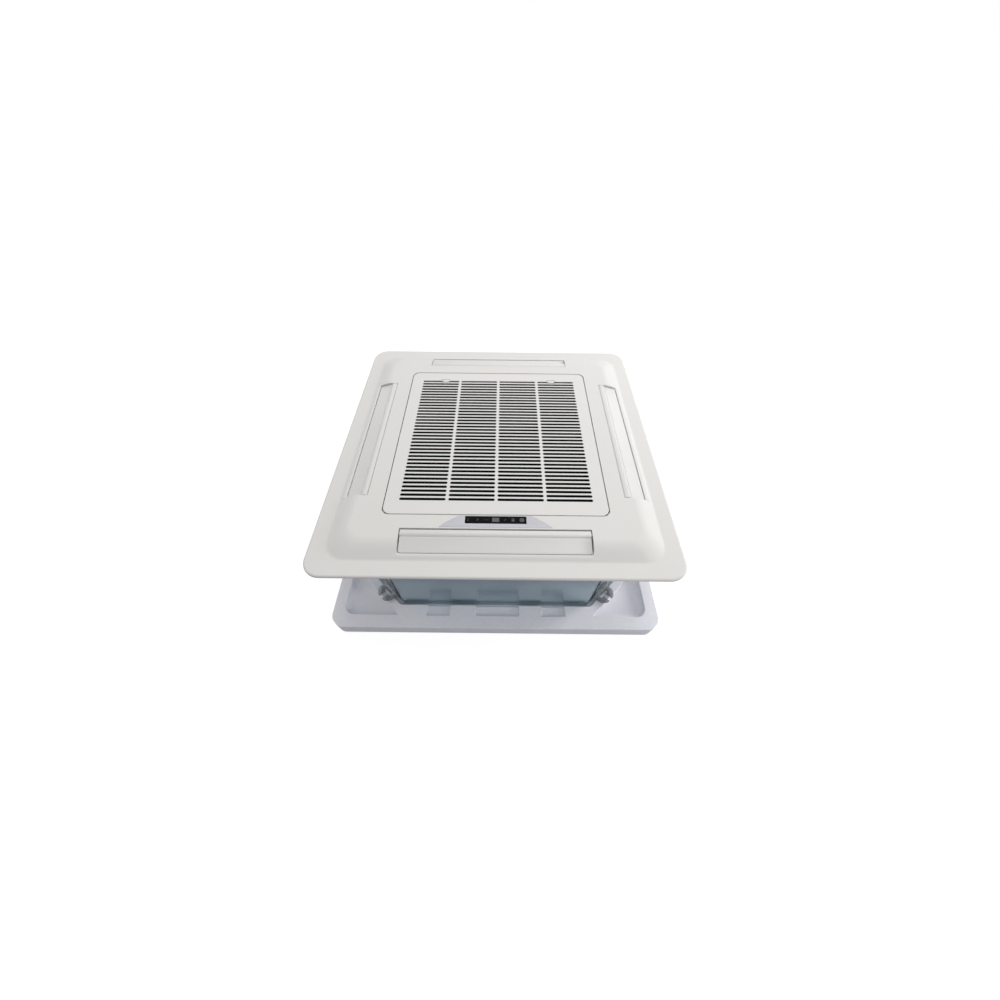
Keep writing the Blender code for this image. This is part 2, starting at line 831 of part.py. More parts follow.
# Electric box, open towards the grille, with its cover
electric_box = box(
    "electric_box",
    (-BOX_WIDTH / 2, box_front, box_floor),
    (BOX_WIDTH / 2, box_front + BOX_DEPTH, box_top),
    galvanised,
)
box_inside = box(
    "box_inside",
    (-BOX_WIDTH / 2 + BOX_WALL, box_front + BOX_WALL, box_floor + BOX_WALL),
    (BOX_WIDTH / 2 - BOX_WALL, box_front + BOX_DEPTH - BOX_WALL, box_top + 0.01),
)
cut(electric_box, box_inside)
box_cover = box(
    "electric_box_cover",
    (-BOX_WIDTH / 2 - 0.001, box_front - 0.001, box_top + SEAT),
    (BOX_WIDTH / 2 + 0.001, box_front + BOX_DEPTH + 0.001, box_top + SEAT + BOX_WALL),
    galvanised,
)

# Bell mouth: a flared inlet that dips into the fan's eye
fan_base = casing_base + FAN_BACK
fan_top = pan_top - FAN_PAN_GAP
mouth_top = pan_top + SEAT + MOUTH_WALL
mouth_outer = pan_bore - MOUTH_LIP
mouth_path = [(pan_bore + MOUTH_SEAT, mouth_top - MOUTH_WALL / 2)]
for step in range(5):
    angle = math.radians(90 * step / 4)
    mouth_path.append(
        (
            MOUTH_THROAT + (mouth_outer - MOUTH_THROAT) * (1 - math.sin(angle)),
            mouth_top - MOUTH_WALL / 2 - MOUTH_FLARE * (1 - math.cos(angle)),
        )
    )
mouth_path.append((MOUTH_THROAT, fan_top - MOUTH_OVERLAP))
bell_mouth = turned("bell_mouth", thicken(mouth_path, MOUTH_WALL), dark_plastic)

# Turbo fan: back disc with a domed hub, curved blades and a shroud, in one moulding
hub_top = fan_base + HUB_HEIGHT
impeller = turned(
    "fan_impeller",
    [
        (fan_radius, fan_base),
        (fan_radius, fan_base + FAN_WALL),
        (HUB_RADIUS + 0.016, fan_base + FAN_WALL),
        (HUB_RADIUS - 0.004, hub_top - 0.018),
        (HUB_RADIUS - 0.022, hub_top - 0.004),
        (HUB_BOSS, hub_top),
        (HUB_BOSS, hub_top + 0.008),
        (SHAFT_RADIUS + PIN_PLAY, hub_top + 0.008),
        (SHAFT_RADIUS + PIN_PLAY, hub_top - 0.012),
        (HUB_BOSS, hub_top - 0.012),
        (HUB_BOSS, hub_top - FAN_WALL),
        (HUB_RADIUS - 0.0235, hub_top - 0.004 - FAN_WALL),
        (HUB_RADIUS - 0.004 - FAN_WALL, hub_top - 0.019),
        (HUB_RADIUS + 0.0145, fan_base),
    ],
    fan_plastic,
)
shroud_path = [
    (EYE_RADIUS, fan_top),
    (EYE_RADIUS + 0.002, fan_top - 0.016),
    (EYE_RADIUS + 0.014, fan_top - 0.031),
    (EYE_RADIUS + 0.040, fan_top - 0.042),
    (fan_radius, fan_top - 0.046),
]
shroud = turned("fan_shroud", thicken(shroud_path, FAN_WALL))
blade_space = turned(
    "blade_space",
    [
        (BLADE_ROOT - 0.01, fan_base + FAN_WALL / 2),
        (fan_radius + 0.01, fan_base + FAN_WALL / 2),
        (fan_radius + 0.01, fan_top - 0.0455),
    ]
    + shroud_path[:0:-1]
    + [
        (EYE_RADIUS - 0.003, fan_top - 0.030),
        (BLADE_ROOT - 0.01, hub_top - 0.012),
    ],
)
blade_steps = 5
blade_path = []
for step in range(blade_steps + 1):
    share = step / blade_steps
    radius = BLADE_ROOT + (fan_radius - 0.003 - BLADE_ROOT) * share
    angle = math.radians(BLADE_WRAP * (share**1.15))
    blade_path.append((radius * math.cos(angle), radius * math.sin(angle)))
blade_walls = [
    0.0015 + (BLADE_THICKNESS - 0.0015) * math.sin(math.pi * min(1.0, step / blade_steps + 0.08)) ** 0.7
    for step in range(blade_steps)
]
blade_section = thicken(blade_path, blade_walls + [0.0015])
blade_outlines = []
for number in range(FAN_BLADES):
    turn = Matrix.Rotation(2 * math.pi * number / FAN_BLADES, 2)
    blade_outlines.append([tuple(turn @ Vector(point)) for point in blade_section])
blades = plate("fan_blades", blade_outlines, fan_base, fan_top)
apply_shape(blades, blade_space, "INTERSECT")
join(impeller, shroud, blades)

# Fan motor on the dish, its shaft and the nut that holds the fan
motor_base = dish_top + SEAT
foot_top = motor_base + MOTOR_FOOT_THICKNESS
motor_top = foot_top + MOTOR_HEIGHT
fan_motor = turned(
    "fan_motor",
    [
        (SHAFT_RADIUS + PIN_PLAY, motor_base),
        (MOTOR_FOOT, motor_base),
        (MOTOR_FOOT, foot_top),
        (MOTOR_RADIUS, foot_top),
        (MOTOR_RADIUS, motor_top - 0.010),
        (MOTOR_RADIUS - 0.008, motor_top),
        (0.020, motor_top),
        (0.018, motor_top + 0.006),
        (SHAFT_RADIUS + PIN_PLAY, motor_top + 0.006),
    ],
    motor_steel,
    steps=16,
)
shaft_top = hub_top + 0.008 + 0.020
motor_shaft = rod(
    "motor_shaft", (0.0, 0.0, motor_base + 0.010), (0.0, 0.0, shaft_top), SHAFT_RADIUS, shaft_steel, 20
)
nut_base = hub_top + 0.008 + SEAT
fan_nut = plate(
    "fan_nut",
    [circle(0.011, 6), circle(SHAFT_RADIUS + PIN_PLAY, 20)],
    nut_base,
    nut_base + 0.010,
    shaft_steel,
)

# Heat exchanger coil: finned block that runs round the fan and stays open at one corner
coil_mid = coil_half - COIL_THICKNESS / 2
bend_radius = COIL_CORNER - COIL_THICKNESS / 2
coil_path = [(coil_mid, coil_end)]
for way_x, way_y, start in ((1, -1, 0), (-1, -1, -90), (-1, 1, -180)):
    for step in range(6):
        angle = math.radians(start - 90 * step / 5)
        coil_path.append(
            (
                way_x * (coil_mid - bend_radius) + bend_radius * math.cos(angle),
                way_y * (coil_mid - bend_radius) + bend_radius * math.sin(angle),
            )
        )
coil_path.append((coil_end, coil_mid))
coil_base = liner_floor + SEAT
coil_top = pan_base + TROUGH_DEPTH - 0.003
coil = plate(
    "heat_exchanger_coil", [thicken(coil_path, COIL_THICKNESS)], coil_base, coil_top, coil_aluminium
)
end_sheet = 0.0015
end_near = coil_inner - 0.002
end_far = coil_half + 0.002
box(
    "coil_end_plate_right",
    (end_near, coil_end + SEAT, coil_base),
    (end_far, coil_end + SEAT + end_sheet, coil_top),
    galvanised,
)
box(
    "coil_end_plate_back",
    (coil_end + SEAT, end_near, coil_base),
    (coil_end + SEAT + end_sheet, end_far, coil_top),
    galvanised,
)

# Water pipes from the coil's end through the corner sheet, each with a fitting
diagonal = math.sqrt(0.5)
pipe_start = coil_end + end_sheet + 2 * SEAT
turn_out = (coil_mid + PIPE_OFFSET * diagonal) / diagonal
turn_x = (turn_out + PIPE_OFFSET) * diagonal
pipe_end = chamfer_line + PIPE_REACH
bend_length = 0.024
for name, level in (("water_inlet", pipe_levels[0]), ("water_outlet", pipe_levels[1])):
    route = [(pipe_start, coil_mid, level)]
    for step in range(5):
        share = step / 4
        before = Vector((turn_x - bend_length, coil_mid))
        corner_point = Vector((turn_x, coil_mid))
        after = Vector((turn_x + bend_length * diagonal, coil_mid + bend_length * diagonal))
        point = before * (1 - share) ** 2 + corner_point * 2 * share * (1 - share) + after * share**2
        route.append((point.x, point.y, level))
    route.append(
        ((pipe_end + PIPE_OFFSET) * diagonal, (pipe_end - PIPE_OFFSET) * diagonal, level)
    )
    tube(f"{name}_pipe", route, PIPE_RADIUS, copper)
    fitting = turned(
        f"{name}_fitting",
        [
            (PIPE_RADIUS - 0.003, 0.0),
            (FITTING_RADIUS + 0.003, 0.0),
            (FITTING_RADIUS + 0.003, 0.009),
            (FITTING_RADIUS, 0.009),
            (FITTING_RADIUS, FITTING_LENGTH),
            (PIPE_RADIUS - 0.003, FITTING_LENGTH),
        ],
        brass,
        steps=16,
    )
    fitting.rotation_euler = (0.0, math.radians(90), math.radians(45))
    fitting.location = (
        (pipe_end + SEAT + PIPE_OFFSET) * diagonal,
        (pipe_end + SEAT - PIPE_OFFSET) * diagonal,
        level,
    )

# Condensate outlet, the pump that lifts the water to it and the hose between them
outlet = turned(
    "condensate_outlet",
    [
        (DRAIN_BORE, 0.0),
        (DRAIN_RADIUS, 0.0),
        (DRAIN_RADIUS, 0.085),
        (DRAIN_BORE, 0.085),
    ],
    foam_white,
    steps=16,
)
outlet_start = chamfer_line - 0.045
outlet.rotation_euler = (0.0, math.radians(90), math.radians(45))
outlet.location = (
    (outlet_start + PIPE_OFFSET) * diagonal,
    (outlet_start - PIPE_OFFSET) * diagonal,
    drain_level,
)
pump_out = chamfer_line - lining_inset - LINER_WALL - 0.008 - PUMP_SIDE / 2
pump_along = 0.036
pump_top = pan_base - SEAT - PUMP_NOZZLE
drain_pump = box(
    "drain_pump",
    (-PUMP_SIDE / 2, -PUMP_SIDE / 2, pump_top - PUMP_HEIGHT),
    (PUMP_SIDE / 2, PUMP_SIDE / 2, pump_top),
    dark_plastic,
)
pump_place = ((pump_out - pump_along) * diagonal, (pump_out + pump_along) * diagonal, 0.0)
nozzle = rod(
    "pump_nozzle", (0.0, 0.0, pump_top - 0.01), (0.0, 0.0, pan_base - SEAT), 0.012, segments=24
)
turn_to(drain_pump, 45, pump_place)
turn_to(nozzle, 45, pump_place)
join(drain_pump, nozzle)
hose_start = pump_along - PUMP_SIDE / 2 - SEAT
hose_level = pump_top - 0.020
hose_lead = 0.006
hose_route = [Vector((pump_out, -hose_start, hose_level))]
for step in range(9):
    share = step / 8
    corners = [
        Vector((pump_out, -hose_start + hose_lead, hose_level)),
        Vector((pump_out, PIPE_OFFSET, hose_level)),
        Vector((outlet_start - 0.030, PIPE_OFFSET, drain_level)),
        Vector((outlet_start - hose_lead, PIPE_OFFSET, drain_level)),
    ]
    while len(corners) > 1:
        corners = [here.lerp(there, share) for here, there in zip(corners, corners[1:])]
    hose_route.append(corners[0])
hose_route.append(Vector((outlet_start - SEAT, PIPE_OFFSET, drain_level)))
hose_points = [
    ((out + along) * diagonal, (out - along) * diagonal, level) for out, along, level in hose_route
]
tube("drain_hose", hose_points, 0.008, hose_rubber)

# Float switch: a stem under the pan with a ring float on its collar
stem_place = (coil_mid + 0.052, coil_mid - 0.078)
collar_level = pan_base - STEM_FOOT - 2 * SEAT - FLOAT_TRAVEL - FLOAT_HEIGHT
float_stem = turned(
    "float_switch",
    [
        (0.0, collar_level - 0.003),
        (STEM_RADIUS + 0.004, collar_level - 0.003),
        (STEM_RADIUS + 0.004, collar_level),
        (STEM_RADIUS, collar_level),
        (STEM_RADIUS, pan_base - STEM_FOOT),
        (STEM_RADIUS + 0.006, pan_base - STEM_FOOT),
        (STEM_RADIUS + 0.006, pan_base - SEAT),
        (0.0, pan_base - SEAT),
    ],
    dark_plastic,
    steps=12,
)
float_stem.location = (*stem_place, 0.0)
float_ring = plate(
    "float_ring",
    [circle(FLOAT_RADIUS, 16), circle(STEM_RADIUS + 0.0008, 12)],
    0.0,
    FLOAT_HEIGHT,
    foam_white,
)
float_ring.location = (*stem_place, collar_level + SEAT)

# Gasket between the casing's rim and the panel
gasket_inner_x = opening_x - GRILLE_LEDGE + 0.003
gasket_inner_y = opening_y - GRILLE_LEDGE + 0.003
plate(
    "panel_gasket",
    [casing_outline(0.002), rounded_rectangle(gasket_inner_x, gasket_inner_y, 0.012)]
    + four_ducts(DUCT_FOAM + SEAT),
    casing_rim + SEAT,
    casing_rim + SEAT + GASKET_THICKNESS,
    gasket_foam,
)

# Panel frame: a moulded dome on a flange, hollow behind, with a collar round each louver
dome_steps = 6
frame_sections = [
    (rounded_rectangle(panel_half, panel_half, PANEL_CORNER), panel_back),
    (rounded_rectangle(panel_half, panel_half, PANEL_CORNER), flange_top - 0.002),
    (
        rounded_rectangle(panel_half - 0.002, panel_half - 0.002, PANEL_CORNER - 0.002),
        flange_top,
    ),
]
hollow_sections = [
    (
        rounded_rectangle(dome_half - 2 * WALL, dome_half - 2 * WALL, DOME_CORNER - 2 * WALL),
        panel_back - 0.002,
    ),
]
for step in range(dome_steps + 1):
    share = step / dome_steps
    half = dome_half - DOME_SLOPE * share
    radius = DOME_CORNER + (PLATEAU_CORNER - DOME_CORNER) * share
    level = flange_top + dome_rise(share)
    frame_sections.append((rounded_rectangle(half, half, radius), level))
    hollow_sections.append(
        (
            rounded_rectangle(half - 2 * WALL, half - 2 * WALL, radius - 2 * WALL),
            level - WALL,
        )
    )
panel_frame = stack("panel_frame", frame_sections, panel_plastic)
hollow = stack("frame_hollow", hollow_sections)
rim_block = plate(
    "frame_rim",
    [rounded_rectangle(opening_x + WALL, opening_y + WALL, GRILLE_CORNER + WALL)],
    panel_back - 0.01,
    dome_top + 0.01,
)
cut(hollow, rim_block)

pivot_out = louver_inner + KNUCKLE_GAP + LOUVER_KNUCKLE
pivot_level = dome_top - LOUVER_KNUCKLE
for side, degrees in SIDES.items():
    collar = box(
        f"louver_collar_{side}",
        (louver_inner - COLLAR_WALL, -half_opening - COLLAR_END_WALL, duct_top + COLLAR_GAP),
        (louver_outer + COLLAR_WALL, half_opening + COLLAR_END_WALL, dome_top + 0.01),
    )
    cut(hollow, turn_to(collar, degrees))
    throat = plate(
        f"louver_throat_{side}",
        [cornered(louver_inner, louver_outer, half_opening, LOUVER_CORNER)],
        flange_top - 0.004,
        dome_top + 0.01,
    )
    cut(panel_frame, turn_to(throat, degrees))
cut(panel_frame, hollow)

# Each louver lies on a ramp that runs on past it to the dome's foot
louver_drop = DOME_RISE - dome_rise(LOUVER_RIM / DOME_SLOPE) + LOUVER_SINK
ramp_top = dome_top - louver_drop
ramp_end = (dome_half - RAMP_FOOT, flange_top + RAMP_FOOT_RISE)
ramp_slope = (ramp_top - ramp_end[1]) / (ramp_end[0] - louver_outer)
ramp_start = (louver_outer - 0.002, ramp_top + ramp_slope * 0.002)
for side, degrees in SIDES.items():
    ramp = plate(
        f"louver_ramp_{side}",
        [[ramp_start, ramp_end, (ramp_end[0], dome_top + 0.01), (ramp_start[0], dome_top + 0.01)]],
        -half_opening,
        half_opening,
    )
    ramp.data.transform(to_upright)
    cut(panel_frame, turn_to(ramp, degrees))

grille_recess = plate(
    "grille_recess",
    [rounded_rectangle(opening_x, opening_y, GRILLE_CORNER)],
    grille_ledge,
    dome_top + 0.01,
)
intake = plate(
    "intake_opening",
    [rounded_rectangle(opening_x - GRILLE_LEDGE, opening_y - GRILLE_LEDGE, 0.012)],
    panel_back - 0.01,
    dome_top,
)
cut(panel_frame, grille_recess, intake)

# Bores for the louver pins
for side, degrees in SIDES.items():
    bore = rod(
        f"louver_bore_{side}",
        (pivot_out, -half_opening - COLLAR_END_WALL - 0.01, pivot_level),
        (pivot_out, half_opening + COLLAR_END_WALL - 0.002, pivot_level),
        LOUVER_PIN + PIN_PLAY,
        segments=12,
    )
    cut(panel_frame, turn_to(bore, degrees))


def louver_section():
    # Section across the louver, from its pivot: a round knuckle, then a slightly hollow blade.
    blade = louver_outer - LOUVER_GAP - 0.0004 - pivot_out
    top = []
    for step in range(5):
        angle = math.radians(180 - 90 * step / 4)
        top.append((LOUVER_KNUCKLE * math.cos(angle), LOUVER_KNUCKLE * math.sin(angle)))
    top.append((0.0068, LOUVER_KNUCKLE - 0.0006))
    top.append((0.0072, LOUVER_KNUCKLE - 0.0014))
    for share in (0.35, 0.6, 0.8, 1.0):
        sag = 0.0012 * math.sin(math.pi * share)
        top.append((blade * share, LOUVER_KNUCKLE - louver_drop * share**1.15 - sag))
    under = [(blade - 0.001, top[-1][1] - LOUVER_WALL)]
    for share in (0.75, 0.5, 0.28):
        sag = 0.0012 * math.sin(math.pi * share)
        under.append(
            (blade * share, LOUVER_KNUCKLE - louver_drop * share**1.15 - sag - LOUVER_WALL)
        )
    for step in range(4):
        angle = math.radians(-35 - 115 * step / 3)
        under.append(((LOUVER_KNUCKLE - 0.002) * math.cos(angle), (LOUVER_KNUCKLE - 0.002) * math.sin(angle)))
    return top + under


louver_half = half_opening - LOUVER_GAP
for side, degrees in SIDES.items():
    louver = plate(
        f"louver_{side}", [louver_section()], -louver_half - 0.002, louver_half + 0.002, louver_plastic
    )
    louver.data.transform(to_upright)
    pin = rod(
        f"louver_pin_{side}",
        (0.0, -half_opening - COLLAR_END_WALL, 0.0),
        (0.0, half_opening + COLLAR_END_WALL - 0.003, 0.0),
        LOUVER_PIN,
        segments=12,
    )
    trim = plate(
        f"louver_trim_{side}",
        [
            cornered(
                -LOUVER_KNUCKLE - 0.002,
                louver_outer - LOUVER_GAP - pivot_out,
                louver_half,
                LOUVER_CORNER - LOUVER_GAP * (2 - math.sqrt(2)),
            )
        ],
        -0.02,
        0.02,
    )
    turn = Matrix.Rotation(math.radians(degrees), 3, "Z")
    place = turn @ Vector((pivot_out, 0.0, pivot_level))
    for shape in (louver, trim, pin):
        turn_to(shape, degrees, place)
    apply_shape(louver, trim, "INTERSECT")
    join(louver, pin)
    stepper = rod(
        f"louver_motor_{side}",
        (pivot_out, -half_opening - COLLAR_END_WALL - SEAT - STEPPER_LENGTH, pivot_level - STEPPER_OFFSET),
        (pivot_out, -half_opening - COLLAR_END_WALL - SEAT, pivot_level - STEPPER_OFFSET),
        STEPPER_RADIUS,
        motor_steel,
    )
    turn_to(stepper, degrees)


def slot_outline(centre_x, centre_y, length):
    # A slot with faceted round ends, long along X.
    half = SLOT_OPENING / 2
    end = length / 2
    shoulder = end - half * 0.45
    return [
        (centre_x - end, centre_y),
        (centre_x - shoulder, centre_y - half),
        (centre_x + shoulder, centre_y - half),
        (centre_x + end, centre_y),
        (centre_x + shoulder, centre_y + half),
        (centre_x - shoulder, centre_y + half),
    ]


# Intake grille: a deep ribbed door with four columns of slots in its thin skin, hinged at the
# front edge
field_half = grille_half_x - SLOT_BORDER
slot_length = (2 * field_half - MULLION * (SLOT_COLUMNS - 1)) / SLOT_COLUMNS
slot_rows = int((2 * (grille_half_y - SLOT_BORDER)) / SLOT_PITCH)
# The grille's corners are rounder than the opening's, which keeps them clear of it as they swing.
first_slot = (slot_rows - 1) / 2 * SLOT_PITCH + SLOT_OPENING / 2
pocket_end = first_slot + POCKET_MARGIN
grille_outlines = [
    rounded_rectangle(grille_half_x, grille_half_y, GRILLE_CORNER + HINGE_RELIEF)
]
slotted_skins = []
for column in range(SLOT_COLUMNS):
    slot_x = (column - (SLOT_COLUMNS - 1) / 2) * (slot_length + MULLION)
    pocket_half = slot_length / 2 + POCKET_MARGIN
    pocket = rectangle(slot_x - pocket_half, -pocket_end, slot_x + pocket_half, pocket_end)
    slots = [
        slot_outline(slot_x, (row - (slot_rows - 1) / 2) * SLOT_PITCH, slot_length)
        for row in range(slot_rows)
    ]
    grille_outlines.append(pocket)
    slotted_skins.append(
        perforated(f"slotted_skin_{column}", pocket, slots, dome_top - SLOT_SKIN, dome_top)
    )
grille_base = dome_top - GRILLE_THICKNESS
hinge_y = -grille_half_y + HINGE_INSET
hinge_level = dome_top - HINGE_DEPTH
grille = plate("intake_grille", grille_outlines, grille_base, dome_top, grille_plastic)
join(grille, *slotted_skins)
hinge_pins = rod(
    "hinge_pins",
    (-opening_x - WALL + 0.0005, hinge_y, hinge_level),
    (opening_x + WALL - 0.0005, hinge_y, hinge_level),
    HINGE_PIN,
    segments=12,
)
join(grille, hinge_pins)
hinge_bore = rod(
    "hinge_bore",
    (-opening_x - WALL - 0.002, hinge_y, hinge_level),
    (opening_x + WALL + 0.002, hinge_y, hinge_level),
    HINGE_PIN + PIN_PLAY,
    segments=12,
)
cut(panel_frame, hinge_bore)

# Latches: slides in the grille's back border that bite into the frame's wall
latch_top = grille_base + LATCH_THICKNESS + 0.0012
latch_bottom = grille_base + 0.0005
tab_front = first_slot + LATCH_SETBACK
tab_back = tab_front + LATCH_TAB
for side, way in (("left", -1), ("right", 1)):
    centre = way * LATCH_SPACING / 2
    half_bolt = LATCH_WIDTH / 2 - 0.004
    latch = box(
        f"latch_{side}",
        (centre - half_bolt, tab_front, latch_bottom),
        (centre + half_bolt, opening_y + LATCH_BITE, latch_top),
        grille_plastic,
    )
    tab = box(
        f"latch_tab_{side}",
        (centre - LATCH_WIDTH / 2, tab_front, latch_bottom + 0.0002),
        (centre + LATCH_WIDTH / 2, tab_back, dome_top - 0.0006),
    )
    join(latch, tab)
    channel = box(
        f"latch_channel_{side}",
        (centre - half_bolt - SEAT, tab_front - LATCH_TRAVEL - SEAT, grille_base - 0.01),
        (centre + half_bolt + SEAT, opening_y + 0.01, latch_top + SEAT),
    )
    window = box(
        f"latch_window_{side}",
        (centre - LATCH_WIDTH / 2 - SEAT, tab_front - LATCH_TRAVEL - 2 * SEAT, grille_base - 0.012),
        (centre + LATCH_WIDTH / 2 + SEAT, tab_back + SEAT, dome_top + 0.01),
    )
    cut(grille, channel, window)
    keeper = box(
        f"latch_keeper_{side}",
        (centre - half_bolt - 0.001, opening_y - 0.01, latch_bottom - 0.0006),
        (centre + half_bolt + 0.001, opening_y + WALL + 0.002, latch_top + 0.0006),
    )
    cut(panel_frame, keeper)
for change in grille.modifiers:
    # The slots' ends lie in lines, which the exact solver can't close.
    change.solver = "MANIFOLD"

# Air filter: a ribbed frame over a sheet of mesh, carried by the grille
filter_half_x = opening_x - GRILLE_LEDGE - 0.006
filter_half_y = SLOT_PITCH * slot_rows / 2 + 0.004
filter_top = grille_base - SEAT
air_filter = perforated(
    "air_filter",
    rectangle(-filter_half_x, -filter_half_y, filter_half_x, filter_half_y),
    [
        rectangle(
            -filter_half_x + FILTER_RIB + column * (2 * filter_half_x - FILTER_RIB) / 3,
            -filter_half_y + FILTER_RIB + row * (2 * filter_half_y - FILTER_RIB) / 3,
            -filter_half_x + (column + 1) * (2 * filter_half_x - FILTER_RIB) / 3,
            -filter_half_y + (row + 1) * (2 * filter_half_y - FILTER_RIB) / 3,
        )
        for row in range(3)
        for column in range(3)
    ],
    filter_top - FILTER_FRAME,
    filter_top,
    filter_mesh,
)
filter_sheet = box(
    "filter_sheet",
    (-filter_half_x + 0.002, -filter_half_y + 0.002, filter_top - FILTER_FRAME / 2 - FILTER_MESH / 2),
    (filter_half_x - 0.002, filter_half_y - 0.002, filter_top - FILTER_FRAME / 2 + FILTER_MESH / 2),
)
join(air_filter, filter_sheet)


display_back = -(opening_y + DISPLAY_RIM)
display_front = display_back - DISPLAY_DEPTH
arc_centre = display_front - math.sqrt(DISPLAY_RADIUS**2 - (DISPLAY_CHORD / 2) ** 2)


def crescent_outline(inset):
    # The display's crescent: an arc over a straight front edge, cut off at the grille's opening.
    radius = DISPLAY_RADIUS - inset
    low = math.asin((display_front + inset - arc_centre) / radius)
    high = math.asin((display_back - inset - arc_centre) / radius)
    arc = [low + (high - low) * step / 6 for step in range(7)]
    right = [(radius * math.cos(a), radius * math.sin(a) + arc_centre) for a in arc]
    return right + [(-x, y) for x, y in reversed(right)]


# Display: a crescent let into the dome, with a window and a push button
recess_floor = dome_top - DISPLAY_THICKNESS + DISPLAY_PROUD - SEAT
cut(panel_frame, plate("display_recess", [crescent_outline(-SEAT)], recess_floor, dome_top + 0.01))
half_window = WINDOW_WIDTH / 2
window_y = display_back - WINDOW_SETBACK
window_low = window_y - WINDOW_DEPTH / 2
window_high = window_y + WINDOW_DEPTH / 2
crescent_top = dome_top + DISPLAY_PROUD
crescent = plate(
    "display_crescent",
    [
        crescent_outline(0.0),
        rectangle(-half_window - SEAT, window_low - SEAT, half_window + SEAT, window_high + SEAT),
    ],
    recess_floor + SEAT,
    crescent_top,
    crescent_plastic,
)
window_top = crescent_top + WINDOW_PROUD
window = plate(
    "display_window",
    [
        rectangle(-half_window, window_low, half_window, window_high),
        circle(BUTTON_RADIUS + SEAT, 20, (BUTTON_OFFSET, window_y)),
    ],
    recess_floor + SEAT,
    window_top,
    window_plastic,
)
button = rod(
    "display_button",
    (0.0, 0.0, recess_floor + SEAT + BUTTON_TRAVEL - window_top),
    (0.0, 0.0, 0.0006),
    BUTTON_RADIUS,
    button_plastic,
    segments=20,
)
button.location = (BUTTON_OFFSET, window_y, window_top)
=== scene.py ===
import bpy
import bmesh
import math
from mathutils import Matrix, Vector


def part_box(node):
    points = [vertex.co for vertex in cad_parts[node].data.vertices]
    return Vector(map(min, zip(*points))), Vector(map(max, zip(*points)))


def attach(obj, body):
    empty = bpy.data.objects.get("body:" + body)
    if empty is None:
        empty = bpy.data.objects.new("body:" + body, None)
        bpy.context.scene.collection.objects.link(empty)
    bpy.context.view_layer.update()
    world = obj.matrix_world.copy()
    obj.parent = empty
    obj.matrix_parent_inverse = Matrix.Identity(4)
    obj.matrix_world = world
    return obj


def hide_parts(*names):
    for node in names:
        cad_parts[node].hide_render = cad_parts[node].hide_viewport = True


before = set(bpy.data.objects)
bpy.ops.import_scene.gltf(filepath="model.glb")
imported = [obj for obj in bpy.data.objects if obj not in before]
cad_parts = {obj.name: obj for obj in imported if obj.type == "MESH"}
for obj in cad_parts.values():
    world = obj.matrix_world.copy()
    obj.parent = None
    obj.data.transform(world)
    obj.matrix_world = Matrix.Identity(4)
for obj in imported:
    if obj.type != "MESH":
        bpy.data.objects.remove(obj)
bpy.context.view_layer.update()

# the photograph's view: a wide lens close above the front edge
camera = {"place": (0.01104, -0.85079, 1.18366), "yaw": -0.0427, "down": 53.8254, "roll": 0.571,
          "lens": 13.4457, "sensor": 36, "near": 0.02}

quarters = (0, 90, 180, 270)
slack = 0.001  # a point this near to a place counts as being there
samePoint = 0.00001  # points this near to each other become one
sameLevel = 0.000004
below, above = 0.33, 0.39  # under the panel and over it, where its cutters end


def setMode(mode):
    bpy.ops.object.mode_set(mode=mode)


def clearSelection():
    if bpy.context.mode != "OBJECT":
        setMode("OBJECT")
    bpy.ops.object.select_all(action="DESELECT")


def pick(piece):
    clearSelection()
    piece.select_set(True)
    bpy.context.view_layer.objects.active = piece


def applyPlace(piece):
    pick(piece)
    bpy.ops.object.transform_apply(location=True, rotation=True, scale=True)
    return piece


def dropPieces(*pieces):
    for piece in pieces:
        bpy.data.objects.remove(piece)


def editPiece(piece):
    pick(piece)
    setMode("EDIT")
    bpy.ops.mesh.select_all(action="DESELECT")


def pickEdges(piece, test):
    bpy.ops.mesh.select_mode(type="EDGE")
    mesh = bmesh.from_edit_mesh(piece.data)
    for edge in mesh.edges:
        edge.select_set(test(edge.verts[0].co, edge.verts[1].co))
    bmesh.update_edit_mesh(piece.data)


# rounds the edges whose two ends pass a test
def bevelEdges(piece, test, width, segments):
    editPiece(piece)
    pickEdges(piece, test)
    bpy.ops.mesh.bevel(offset=width, segments=segments)
    setMode("OBJECT")


def isUpright(a, b):
    return abs(a.z - b.z) > 0.005


# keeps the side of a plane that its direction points to
def sliceOff(piece, place, way):
    editPiece(piece)
    bpy.ops.mesh.select_all(action="SELECT")
    bpy.ops.mesh.bisect(plane_co=place, plane_no=way, use_fill=True, clear_inner=True)
    setMode("OBJECT")


def addBlock(name, low, high):
    clearSelection()
    middle = [(a + b) / 2 for a, b in zip(low, high)]
    bpy.ops.mesh.primitive_cube_add(size=1, location=middle)
    block = bpy.context.object
    block.name = name
    block.scale = [b - a for a, b in zip(low, high)]
    return applyPlace(block)


def addRod(name, start, end, radius, sides):
    clearSelection()
    start, end = Vector(start), Vector(end)
    along = end - start
    bpy.ops.mesh.primitive_cylinder_add(vertices=sides, radius=radius, depth=along.length,
                                        location=(start + end) / 2)
    rod = bpy.context.object
    rod.name = name
    rod.rotation_euler = along.to_track_quat("Z", "Y").to_euler()
    return applyPlace(rod)


